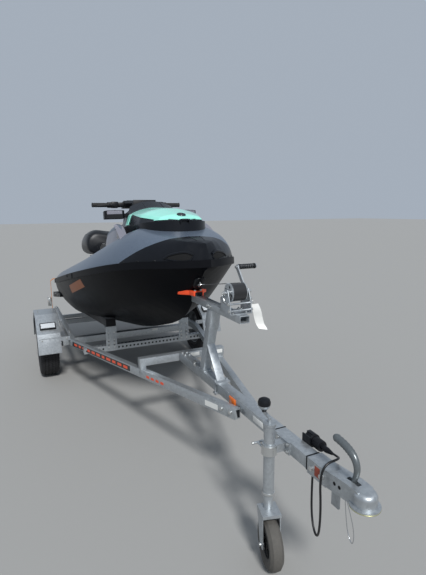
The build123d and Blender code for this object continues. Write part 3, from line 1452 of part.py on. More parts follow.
def build():
    """Every node's shape, by name, with x = 0 at the wheel centres."""
    hull_plain = hull_body()
    deck_plain = deck_body()
    hull_parked = parked(hull_plain)
    hull_shape = hull()
    deck_whole = whole_deck(hull_plain)
    ahead = forward_of_fairing()
    fairing = deck_whole & ahead
    deck = deck_whole - ahead
    bow_eye, stern_eyes = tow_eyes()
    supports = bunk_supports()
    guard_arms = mudguard_arms()
    craft = {
        "hull": hull_shape + bucket_pins(),
        "deck": largest(deck),
        "bow_fairing": largest(fairing),
        "gunwale_rail": gunwale_rail(hull_plain, deck_plain),
        "console_base": console_base(deck_plain),
        "hood": hood(),
        "hood_panel": hood_panel(),
        "mirrors": mirrors(),
        "knee_panels": knee_panels(deck_plain),
        "steering_tower": steering_tower() - deck_plain,
        "glovebox_lid": glovebox_lid(),
        "handlebar": handlebar(),
        "handlebar_pad": handlebar_pad(),
        "grips": grips(),
        "driver_seat": driver_seat(),
        "passenger_seat": passenger_seat(),
        "grab_handle": grab_handle(),
        "sponsons": sponsons(hull_plain),
        "tow_eyes": [bow_eye - hull_plain, *[eye - hull_plain for eye in stern_eyes]],
        "intake_grate": intake_grate(hull_shape),
        "ride_plate": ride_plate(hull_shape),
        "jet_pump": jet_pump() + nozzle_bracket(),
        "impeller": impeller(),
        "steering_nozzle": steering_nozzle(),
        "reverse_bucket": reverse_bucket() - [rod((BUCKET_PIVOT_X, -150, PUMP_Z), (BUCKET_PIVOT_X, 150, PUMP_Z), 8 + FIT)],
        "engine": engine(),
    }
    nodes = {name: [parked(piece) for piece in (shape if isinstance(shape, list) else [shape])]
             for name, shape in craft.items()}
    trailer = {
        "drawbar": drawbar(),
        "side_rails": side_rails(),
        "cross_members": cross_members(),
        "axle": axle(),
        "tyre_left": tyre(1),
        "tyre_right": tyre(-1),
        "rim_left": rim(1),
        "rim_right": rim(-1),
        "mudguards": mudguards(guard_arms),
        "mudguard_arms": guard_arms,
        "lamps": lamps(),
        "bunk_supports": supports,
        "bunks": bunks(hull_parked, supports),
        "winch_post": winch_post(),
        "winch_arm": winch_arm(),
        "bow_stop": bow_stop(hull_parked),
        "winch_frame": winch_frame(),
        "winch_drum": winch_drum(),
        "winch_crank": winch_crank(),
        "winch_strap": winch_strap(),
        "coupling_body": coupling_body(),
        "coupling_lever": coupling_lever(),
        "jockey_clamp": jockey_clamp(),
        "jockey_tube": jockey_tube(),
        "jockey_fork": jockey_fork(),
        "jockey_wheel": jockey_wheel(),
        "plug": plug(),
        "cable": cable(),
        "safety_cable": safety_cable(),
        "tie_strap": tie_strap(),
        "ratchets": ratchets(),
    }
    for name, shape in trailer.items():
        nodes[name] = shape if isinstance(shape, list) else [shape]
    return nodes


def solids_of(pieces):
    """The separate solids of a node's pieces."""
    return [solid for piece in pieces for solid in piece.solids()]


def main():
    """Write one STEP file per node, moved so that the whole length is centred."""
    os.makedirs("parts", exist_ok=True)
    for name, pieces in build().items():
        moved = [Pos(SHIFT_X, 0, 0) * solid for solid in solids_of(pieces)]
        shape = moved[0] if len(moved) == 1 else Compound(children=moved)
        export_step(shape, f"parts/{name}.step")


main()
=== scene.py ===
"""Looks of a personal watercraft parked on its road trailer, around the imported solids."""

import json
import logging
import math
from dataclasses import dataclass, field
from enum import Enum
from typing import Iterable, Optional, Sequence

import bmesh
import bpy
from mathutils import Matrix, Vector
from mathutils.bvhtree import BVHTree

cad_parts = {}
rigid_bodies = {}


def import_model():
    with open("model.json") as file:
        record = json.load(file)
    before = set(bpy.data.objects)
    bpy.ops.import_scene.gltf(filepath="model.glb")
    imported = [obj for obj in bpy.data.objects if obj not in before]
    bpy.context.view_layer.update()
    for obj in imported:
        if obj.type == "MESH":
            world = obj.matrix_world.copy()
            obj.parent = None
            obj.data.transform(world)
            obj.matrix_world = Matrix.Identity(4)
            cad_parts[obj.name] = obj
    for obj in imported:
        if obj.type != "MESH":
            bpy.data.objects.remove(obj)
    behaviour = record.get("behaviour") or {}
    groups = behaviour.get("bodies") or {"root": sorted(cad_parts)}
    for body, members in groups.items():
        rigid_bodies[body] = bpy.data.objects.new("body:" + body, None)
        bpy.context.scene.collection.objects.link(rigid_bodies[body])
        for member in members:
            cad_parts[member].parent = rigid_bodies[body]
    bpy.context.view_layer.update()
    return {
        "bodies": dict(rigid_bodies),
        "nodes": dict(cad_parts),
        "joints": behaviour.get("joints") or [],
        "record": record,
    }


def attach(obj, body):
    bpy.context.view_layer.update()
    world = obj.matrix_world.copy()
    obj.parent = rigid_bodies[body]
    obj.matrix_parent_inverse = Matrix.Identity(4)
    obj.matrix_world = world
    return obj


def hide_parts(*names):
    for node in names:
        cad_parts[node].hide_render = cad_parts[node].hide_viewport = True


LOG = logging.getLogger("watercraft")
MM = 0.001
ROOT = "craft_and_trailer"
# Where the wheel centres lie in the shared frame, and the craft's transom on the trailer, in mm
WHEELS_AT = Vector((-979.525, 0.0, 0.0))
TRANSOM_AT = (-1300.0, 0.0, 310.0)
NOSE_UP_DEG = 5.3
UP = (0, 0, 1)
AHEAD = (1, 0, 0)
# A texture of bands repeats every pi / 10 units at a scale of 1
BAND_REPEAT = math.pi / 10.0
# Edges of a prism that turn by more than this get a bevel
BEVEL_FROM = math.radians(25)
# How far above a local plane the rays start that look for the surface below it, in mm
RAY_START = 400.0

Point = Sequence[float]
Points = Sequence[Point]
Object = bpy.types.Object
Tree = bpy.types.NodeTree
Socket = bpy.types.NodeSocket


class Ground(Enum):
    """The two drawing frames, both in millimetres.

    The trailer's frame has x = 0 at the wheel centres. The craft's frame is level, with x from its
    transom and z from its keel, and lies nose-up on the bunks.
    """

    TRAILER = "trailer"
    CRAFT = "craft"

    def matrix(self) -> Matrix:
        """Takes this frame's millimetres into the shared frame's metres.

        Returns:
            The matrix between the two.
        """
        base = Matrix.Translation(WHEELS_AT * MM) @ Matrix.Scale(MM, 4)
        if self is Ground.TRAILER:
            return base
        nose_up = Matrix.Rotation(-math.radians(NOSE_UP_DEG), 4, "Y")
        return base @ Matrix.Translation(TRANSOM_AT) @ nose_up


CRAFT = Ground.CRAFT


class Pattern(Enum):
    """What the surface of a material shows close up."""

    SPANGLE = "zinc crystals"
    FLAKE = "metal flake"
    PEBBLE = "moulded grain"
    WEAVE = "woven threads"
    CAST = "sand-cast skin"
    PILE = "short carpet pile"
    FINE = "fine even skin"
    GROOVES = "parallel grooves"


def linear(colour: str) -> tuple[float, float, float, float]:
    """An sRGB hex colour as linear values.

    Args:
        colour: six hex digits after a hash.

    Returns:
        Red, green, blue and an alpha of 1.
    """
    parts = [int(colour[k : k + 2], 16) / 255 for k in (1, 3, 5)]
    values = [p / 12.92 if p <= 0.04045 else ((p + 0.055) / 1.055) ** 2.4 for p in parts]
    return (*values, 1.0)


def add_node(
    tree: Tree, kind: str, settings: Optional[dict] = None, values: Optional[dict] = None,
    links: Optional[dict] = None,
) -> bpy.types.Node:
    """Adds one node with its settings, socket values and links.

    Args:
        tree: the node tree.
        kind: the node's type name.
        settings: attributes of the node.
        values: default values by input socket.
        links: output sockets by input socket.

    Returns:
        The new node.
    """
    node = tree.nodes.new(kind)
    for key, value in (settings or {}).items():
        setattr(node, key, value)
    for key, value in (values or {}).items():
        node.inputs[key].default_value = value
    for key, socket in (links or {}).items():
        tree.links.new(socket, node.inputs[key])
    return node


@dataclass(frozen=True)
class Finish:
    """A surface: its colours, gloss and the pattern that it shows.

    grain_mm is the real size of the pattern's repeat, and depth_mm how deep its relief is. patch_mm
    is the size of the slow changes in tone, and patch their share against the pattern. shine below
    0.5 stands for a skin that dust and fine scratches have dulled.
    """

    name: str
    colour: str
    second: str
    pattern: Pattern
    grain_mm: float
    roughness: float
    depth_mm: float = 0.0
    spread: float = 0.06
    metallic: float = 0.0
    ior: float = 1.5
    shine: float = 0.5
    coat: float = 0.0
    coat_roughness: float = 0.08
    sheen: float = 0.0
    patch_mm: float = 240.0
    patch: float = 0.4

    def material(self) -> bpy.types.Material:
        """The node material, made once."""
        return bpy.data.materials.get(self.name) or self._make()

    def _waves(self, tree: Tree, place: Socket, axis: str) -> Socket:
        """Bands across one axis, a thread apart.

        Args:
            tree: the material's node tree.
            place: the object coordinates, in metres.
            axis: X, Y or Z.

        Returns:
            The socket that carries the value.
        """
        wave = add_node(
            tree,
            "ShaderNodeTexWave",
            {"wave_type": "BANDS", "bands_direction": axis, "wave_profile": "SIN"},
            {"Scale": BAND_REPEAT * 1000.0 / self.grain_mm},
            {"Vector": place},
        )
        return wave.outputs["Fac"]

    def _pattern(self, tree: Tree, place: Socket) -> Socket:
        """The pattern's value from 0 to 1 over the surface.

        Args:
            tree: the material's node tree.
            place: the object coordinates, in metres.

        Returns:
            The socket that carries the value.
        """
        scale = 1000.0 / self.grain_mm
        near = {"Vector": place}
        if self.pattern in (Pattern.SPANGLE, Pattern.FLAKE):
            cells = add_node(tree, "ShaderNodeTexVoronoi", values={"Scale": scale}, links=near)
            links = {"Color": cells.outputs["Color"]}
            return add_node(tree, "ShaderNodeSeparateColor", links=links).outputs["Red"]
        if self.pattern is Pattern.PEBBLE:
            values = {"Scale": scale, "Smoothness": 0.6}
            cells = add_node(tree, "ShaderNodeTexVoronoi", {"feature": "SMOOTH_F1"}, values, near)
            return cells.outputs["Distance"]
        if self.pattern is Pattern.WEAVE:
            first = add_node(
                tree, "ShaderNodeMath", {"operation": "MAXIMUM"},
                links={0: self._waves(tree, place, "X"), 1: self._waves(tree, place, "Y")},
            )
            both = add_node(
                tree, "ShaderNodeMath", {"operation": "MULTIPLY"},
                links={0: first.outputs[0], 1: self._waves(tree, place, "Z")},
            )
            return both.outputs[0]
        if self.pattern is Pattern.GROOVES:
            return self._waves(tree, place, "Y")
        detail = {Pattern.CAST: 6.0, Pattern.PILE: 3.0, Pattern.FINE: 2.0}[self.pattern]
        values = {"Scale": scale, "Detail": detail, "Roughness": 0.6}
        return add_node(tree, "ShaderNodeTexNoise", values=values, links=near).outputs["Fac"]

    def _make(self) -> bpy.types.Material:
        """Builds the node tree: patches of tone, the pattern, gloss and relief.

        Returns:
            The new material.
        """
        material = bpy.data.materials.new(self.name)
        material.use_nodes = True
        tree = material.node_tree
        shader = tree.nodes["Principled BSDF"]
        uniform = {
            "Metallic": self.metallic,
            "Coat Weight": self.coat,
            "Coat Roughness": self.coat_roughness,
            "Sheen Weight": self.sheen,
        }
        if self.metallic < 0.5:
            uniform["IOR"] = self.ior
            uniform["Specular IOR Level"] = self.shine
        for socket, value in uniform.items():
            shader.inputs[socket].default_value = value
        place = add_node(tree, "ShaderNodeTexCoord").outputs["Object"]
        value = self._pattern(tree, place)
        patches = add_node(
            tree, "ShaderNodeTexNoise", values={"Scale": 1000.0 / self.patch_mm, "Detail": 4.0},
            links={"Vector": place},
        )
        share = add_node(
            tree, "ShaderNodeMath", {"operation": "MULTIPLY"}, {1: 1.0 - self.patch}, {0: value}
        )
        blend = add_node(
            tree, "ShaderNodeMath", {"operation": "MULTIPLY_ADD", "use_clamp": True},
            {1: self.patch}, {0: patches.outputs["Fac"], 2: share.outputs[0]},
        )
        mix = add_node(
            tree, "ShaderNodeMix", {"data_type": "RGBA"},
            {6: linear(self.colour), 7: linear(self.second)}, {0: blend.outputs[0]},
        )
        tree.links.new(mix.outputs[2], shader.inputs["Base Color"])
        low, high = max(self.roughness - self.spread, 0.02), self.roughness + self.spread
        rough = add_node(
            tree, "ShaderNodeMapRange", values={"To Min": low, "To Max": high},
            links={"Value": blend.outputs[0]},
        )
        tree.links.new(rough.outputs["Result"], shader.inputs["Roughness"])
        if self.depth_mm:
            bump = add_node(
                tree, "ShaderNodeBump", values={"Strength": 0.6, "Distance": self.depth_mm * MM},
                links={"Height": value},
            )
            tree.links.new(bump.outputs["Normal"], shader.inputs["Normal"])
        return material


# Hot-dip zinc on steel: crystals of about 12 mm that differ slightly in tone
ZINC = Finish(
    "hot_dip_zinc", "#a4a9ad", "#bcc1c4", Pattern.SPANGLE,
    grain_mm=12.0, depth_mm=0.03, roughness=0.42, spread=0.07, metallic=0.75,
)
# Black gelcoat over glass fibre, dulled by salt
GELCOAT = Finish(
    "black_gelcoat", "#040509", "#090b11", Pattern.FINE,
    grain_mm=60.0, depth_mm=0.10, roughness=0.38, spread=0.07, ior=1.4, shine=0.1,
)
# Blue-grey metallic lacquer on the deck; its flake is drawn at 3 mm so that it shows
DECK_PAINT = Finish(
    "metallic_lacquer", "#566272", "#6d7988", Pattern.FLAKE,
    grain_mm=3.0, roughness=0.36, metallic=0.35, coat=0.2,
)
# Polypropylene moulded with a fine leather-like grain
TRIM = Finish(
    "grained_polypropylene", "#0b0c0f", "#15171c", Pattern.PEBBLE,
    grain_mm=3.0, depth_mm=0.10, roughness=0.42, spread=0.08, ior=1.45, shine=0.35,
)
# The same plastic with a smoother skin, on the bow fairing
FAIRING = Finish(
    "smooth_polypropylene", "#080a0f", "#10131a", Pattern.FINE,
    grain_mm=30.0, depth_mm=0.05, roughness=0.30, shine=0.32,
)
# EPDM rubber along the gunwale
BUMPER = Finish(
    "epdm_rubber", "#05060a", "#0b0c11", Pattern.FINE,
    grain_mm=8.0, depth_mm=0.05, roughness=0.45, spread=0.08, shine=0.15,
)
# Mint lacquer on moulded ABS
MINT = Finish(
    "mint_lacquered_abs", "#8fe6d2", "#a9f3e2", Pattern.FINE,
    grain_mm=40.0, roughness=0.22, spread=0.04, coat=0.6,
)
# Dark moulded ABS of the hood
HOOD = Finish(
    "dark_moulded_abs", "#0b0d13", "#141820", Pattern.FINE,
    grain_mm=25.0, depth_mm=0.03, roughness=0.28, spread=0.05, shine=0.4,
)
# Silver paint on the mirrors' caps and the knee panels; its flake is drawn at 3 mm
SILVER = Finish(
    "silver_paint", "#86858e", "#9b99a2", Pattern.FLAKE,
    grain_mm=3.0, roughness=0.33, spread=0.05, metallic=0.45, coat=0.3,
)
# Silvered glass
MIRROR = Finish(
    "silvered_glass", "#c9cdd1", "#d7dade", Pattern.FINE,
    grain_mm=80.0, roughness=0.04, spread=0.02, metallic=1.0,
)
# Sand-cast and painted pump alloy
PUMP = Finish(
    "cast_aluminium", "#55595d", "#73777b", Pattern.CAST,
    grain_mm=5.0, depth_mm=0.15, roughness=0.5, spread=0.1, metallic=0.8,
)
# Polished stainless steel
STAINLESS = Finish(
    "polished_stainless", "#b4b7ba", "#d2d4d6", Pattern.FINE,
    grain_mm=4.0, depth_mm=0.01, roughness=0.22, metallic=1.0,
)
# Bright zinc plate on small fasteners and the buckles
PLATED = Finish(
    "bright_zinc_plate", "#bdbfbf", "#dcdddb", Pattern.FINE,
    grain_mm=6.0, depth_mm=0.01, roughness=0.3, spread=0.08, metallic=0.9,
)
# Grey enamel on the cast engine
ENGINE = Finish(
    "engine_enamel", "#2b2d30", "#3a3d41", Pattern.CAST,
    grain_mm=8.0, depth_mm=0.1, roughness=0.5, spread=0.08,
)
# Tyre rubber, dusty in patches
TYRE = Finish(
    "tyre_rubber", "#121213", "#252529", Pattern.FINE,
    grain_mm=9.0, depth_mm=0.06, roughness=0.72, spread=0.08,
)
# Silver enamel on the pressed steel rim; flake drawn at 4 mm
RIM = Finish(
    "silver_rim_enamel", "#8a8d90", "#a5a8ab", Pattern.FLAKE,
    grain_mm=4.0, roughness=0.4, metallic=0.6,
)
# Nylon carpet glued on the bunks, 3 mm pile
CARPET = Finish(
    "bunk_carpet", "#08080a", "#18181b", Pattern.PILE,
    grain_mm=3.0, depth_mm=0.9, roughness=0.95, spread=0.03, sheen=0.3,
)
# Polyurethane of the bow stop, cast in orange-red
STOP = Finish(
    "orange_polyurethane", "#e2431a", "#f05a2c", Pattern.FINE,
    grain_mm=12.0, depth_mm=0.05, roughness=0.4,
)
# Polyester webbing woven in orange and tan; its threads are drawn at 4 mm
WEBBING = Finish(
    "orange_webbing", "#a8652f", "#d08a4a", Pattern.WEAVE,
    grain_mm=4.0, depth_mm=0.35, roughness=0.8, spread=0.05, sheen=0.2,
)
# Black webbing of the winch
DARK_WEBBING = Finish(
    "black_webbing", "#0c0d0f", "#1d1f24", Pattern.WEAVE,
    grain_mm=4.0, depth_mm=0.35, roughness=0.75, spread=0.05, sheen=0.2,
)
# Clear ribbed polycarbonate over a white reflector
LENS = Finish(
    "ribbed_polycarbonate", "#b3b8bd", "#d3d6d8", Pattern.GROOVES,
    grain_mm=6.0, depth_mm=0.2, roughness=0.2, spread=0.04, coat=0.2,
)
# Red acrylic lens
RED_LENS = Finish(
    "red_acrylic", "#8e0f10", "#c01a16", Pattern.GROOVES,
    grain_mm=8.0, depth_mm=0.3, roughness=0.14, spread=0.04, coat=0.6,
)
# Amber acrylic with a honeycomb of small prisms
AMBER = Finish(
    "amber_acrylic", "#dd5610", "#f38826", Pattern.PEBBLE,
    grain_mm=4.0, depth_mm=0.2, roughness=0.18, spread=0.05, coat=0.6,
)
# Soft rubber of the hand grips
GRIP = Finish(
    "grip_rubber", "#0d0d0f", "#1b1b1e", Pattern.PEBBLE,
    grain_mm=2.5, depth_mm=0.2, roughness=0.7,
)
# Dip-coated grey enamel on the coupling's lever
SLEEVE = Finish(
    "lever_enamel", "#565b5d", "#757b7d", Pattern.PEBBLE,
    grain_mm=2.5, depth_mm=0.08, roughness=0.3, metallic=0.4,
)
# Solid grey-brown rubber, dusty from the road
JOCKEY = Finish(
    "dusty_solid_rubber", "#3f3d3b", "#625f59", Pattern.FINE,
    grain_mm=10.0, depth_mm=0.1, roughness=0.78,
)
# PVC sheath of the lamp cable
SHEATH = Finish(
    "pvc_sheath", "#08080a", "#141417", Pattern.FINE,
    grain_mm=6.0, depth_mm=0.02, roughness=0.38,
)
# Marine vinyl of the seats: fine pebble over soft sheen
VINYL = Finish(
    "marine_vinyl", "#090b0f", "#13161c", Pattern.PEBBLE,
    grain_mm=2.2, depth_mm=0.12, roughness=0.42, spread=0.07, shine=0.35, sheen=0.08,
)
# Grooved EVA foam under the feet
MAT = Finish(
    "grooved_eva_foam", "#141619", "#2b2e32", Pattern.GROOVES,
    grain_mm=14.0, depth_mm=1.2, roughness=0.85, spread=0.05,
)
# Orange cast vinyl film of the decals, without lettering
ORANGE_FILM = Finish(
    "orange_vinyl_film", "#dd451c", "#e9552a", Pattern.FINE,
    grain_mm=30.0, roughness=0.35, spread=0.05, coat=0.2,
)
# Black cast vinyl film
BLACK_FILM = Finish(
    "black_vinyl_film", "#101112", "#191a1b", Pattern.FINE,
    grain_mm=30.0, roughness=0.38, spread=0.05, coat=0.2,
)
# White polyester label stock, faded a little
LABEL = Finish(
    "white_label_stock", "#d6d6d2", "#e8e8e4", Pattern.FINE,
    grain_mm=25.0, roughness=0.5, spread=0.08,
)
# Rust-red label stock
RED_LABEL = Finish(
    "red_label_stock", "#8f3b28", "#a84a34", Pattern.FINE,
    grain_mm=25.0, roughness=0.5, spread=0.08,
)
# Faded brown-orange patch that stands for the registration
PATCH = Finish(
    "faded_registration_film", "#8a4a26", "#a9602f", Pattern.FINE,
    grain_mm=18.0, roughness=0.45,
)
# Yellow-green zinc passivation on the coupling's rim
PASSIVATED = Finish(
    "yellow_passivated_zinc", "#a3a272", "#c4c392", Pattern.FINE,
    grain_mm=8.0, roughness=0.4, metallic=0.8,
)
# Painted shade, not a mesh: black put inside the fairing's slots and the punched holes, where no
# light comes back
MESH = Finish(
    "painted_shade_black", "#020203", "#07080a", Pattern.PEBBLE,
    grain_mm=3.0, depth_mm=0.3, roughness=0.9, spread=0.05,
)
# Smoked polycarbonate over the display
GLASS = Finish(
    "smoked_display_glass", "#06080b", "#0c1015", Pattern.FINE,
    grain_mm=50.0, roughness=0.07, spread=0.03, coat=0.5,
)

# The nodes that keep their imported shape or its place, by what they are made of
NODE_FINISH = {
    GELCOAT: ("hull",),
    DECK_PAINT: ("deck",),
    FAIRING: ("bow_fairing", "console_base"),
    BUMPER: ("gunwale_rail",),
    HOOD: ("hood",),
    SILVER: ("knee_panels",),
    MINT: ("hood_panel",),
    TRIM: (
        "mirrors", "steering_tower", "glovebox_lid", "handlebar", "handlebar_pad", "grab_handle",
        "sponsons", "reverse_bucket", "plug",
    ),
    GRIP: ("grips",),
    VINYL: ("driver_seat", "passenger_seat"),
    STAINLESS: ("tow_eyes", "impeller", "safety_cable"),
    PUMP: ("intake_grate", "ride_plate", "jet_pump", "steering_nozzle"),
    ENGINE: ("engine",),
    ZINC: (
        "drawbar", "side_rails", "cross_members", "axle", "mudguards", "mudguard_arms",
        "bunk_supports", "winch_post", "winch_arm", "winch_frame", "winch_drum", "winch_crank",
        "coupling_body", "jockey_clamp", "jockey_tube", "jockey_fork",
    ),
    TYRE: ("tyre_left", "tyre_right"),
    RIM: ("rim_left", "rim_right"),
    LENS: ("lamps",),
    CARPET: ("bunks",),
    STOP: ("bow_stop",),
    DARK_WEBBING: ("winch_strap",),
    SLEEVE: ("coupling_lever",),
    JOCKEY: ("jockey_wheel",),
    SHEATH: ("cable",),
    WEBBING: ("tie_strap",),
    PLATED: ("ratchets",),
}


def frame_at(origin: Point, out: Point, across: Optional[Point] = None) -> Matrix:
    """A local frame at a point, its third axis pointing out.

    Args:
        origin: where the frame stands.
        out: the third axis.
        across: about where the first axis points.

    Returns:
        The matrix from local to drawing millimetres.
    """
    w = Vector(out).normalized()
    u = Vector(across) if across else (Vector(UP) if abs(w.z) < 0.9 else Vector(AHEAD))
    u = (u - w * u.dot(w)).normalized()
    return Matrix.Translation(origin) @ Matrix((u, w.cross(u), w)).transposed().to_4x4()


def smooth_line(points: Points, steps: int) -> list[Vector]:
    """Points on a smooth line through the given ones.

    Args:
        points: what the line goes through.
        steps: how many short runs between two of them.

    Returns:
        The line's points, ends included.
    """
    spots = [Vector(p) for p in points]
    padded = [spots[0] * 2 - spots[1], *spots, spots[-1] * 2 - spots[-2]]
    line = []
    for a, b, c, d in zip(padded, padded[1:], padded[2:], padded[3:]):
        for k in range(steps):
            t = k / steps
            square, cube = 2 * a - 5 * b + 4 * c - d, 3 * b - a - 3 * c + d
            line.append(0.5 * (2 * b + (c - a) * t + square * t**2 + cube * t**3))
    return [*line, spots[-1]]


def rounded(corners: Points, radius: float, steps: int = 4) -> list[tuple[float, float]]:
    """A flat outline with its corners rounded.

    Args:
        corners: the outline's corners in order.
        radius: the corners' radius.
        steps: runs in each corner's arc.

    Returns:
        The rounded outline.
    """
    result = []
    count = len(corners)
    for k in range(count):
        before, here, after = (Vector(corners[(k + j) % count]).to_2d() for j in (-1, 0, 1))
        reach = min(radius, (before - here).length * 0.45, (after - here).length * 0.45)
        start = here + (before - here).normalized() * reach
        end = here + (after - here).normalized() * reach
        for step in range(steps + 1):
            t = step / steps
            spot = start * (1 - t) ** 2 + here * 2 * t * (1 - t) + end * t**2
            result.append((spot.x, spot.y))
    return result


def anticlockwise(outline: Points) -> list[Point]:
    """The outline in anticlockwise order.

    Args:
        outline: the corners in either order.

    Returns:
        The corners in order.
    """
    area = sum(a[0] * b[1] - b[0] * a[1] for a, b in zip(outline, [*outline[1:], outline[0]]))
    return list(outline) if area > 0 else list(reversed(outline))


def box_outline(
    half_u: float, half_v: float, radius: float = 0.0, u: float = 0.0, v: float = 0.0
) -> list[Point]:
    """A rectangle's outline, its corners rounded.

    Args:
        half_u: half its length.
        half_v: half its height.
        radius: the corners' radius.
        u: its middle along the first axis.
        v: its middle along the second axis.

    Returns:
        The outline, anticlockwise.
    """
    ways = ((-1, -1), (1, -1), (1, 1), (-1, 1))
    corners = [(u + a * half_u, v + b * half_v) for a, b in ways]
    return rounded(corners, radius) if radius else corners


def mirrored(points: Iterable[Point], side: int) -> list[Point]:
    """A flat line for one side of the craft.

    Args:
        points: the line for the port side.
        side: 1 for port, -1 for starboard.

    Returns:
        The line on that side.
    """
    return [(x, side * y) for x, y in points]


def directions(spots: Sequence[Vector]) -> list[Vector]:
    """The direction of a line at each of its points.

    Args:
        spots: the line's points.

    Returns:
        A direction of length 1 for each point.
    """
    runs = [(b - a).normalized() for a, b in zip(spots, spots[1:])]
    return [runs[0], *[(a + b).normalized() for a, b in zip(runs, runs[1:])], runs[-1]]


def link_new(name: str, data: bpy.types.ID) -> Object:
    """Adds an object with its data to the scene.

    Args:
        name: the object's name.
        data: its mesh, curve, lamp or camera.

    Returns:
        The new object.
    """
    made = bpy.data.objects.new(name, data)
    bpy.context.scene.collection.objects.link(made)
    return made


# Looks down on the craft from above, its first axis forward
CRAFT_DOWN = frame_at((0, 0, 800), UP, AHEAD)


class Surface:
    """The skin of some nodes or pieces, in a drawing frame, for pieces that lie on it."""

    def __init__(self, objects: Iterable[Object], ground: Ground) -> None:
        """Gathers the objects' faces.

        Args:
            objects: carried-over nodes or finished pieces.
            ground: the drawing frame.
        """
        back = ground.matrix().inverted()
        spots: list[Vector] = []
        faces: list[list[int]] = []
        for each in objects:
            data = each.data
            start = len(spots)
            spots.extend(back @ v.co for v in data.vertices)
            faces.extend([start + index for index in p.vertices] for p in data.polygons)
        self.tree = BVHTree.FromPolygons(spots, faces)

    def hit(self, origin: Point, towards: Point) -> Optional[tuple[Vector, Vector]]:
        """Where a ray first meets the skin, and the outward normal there.

        Args:
            origin: where the ray starts.
            towards: where it goes.

        Returns:
            The point and the normal, or nothing where the ray misses.
        """
        spot, normal, _, _ = self.tree.ray_cast(Vector(origin), Vector(towards).normalized())
        if spot is None:
            return None
        return spot, normal if normal.dot(Vector(towards)) < 0 else -normal


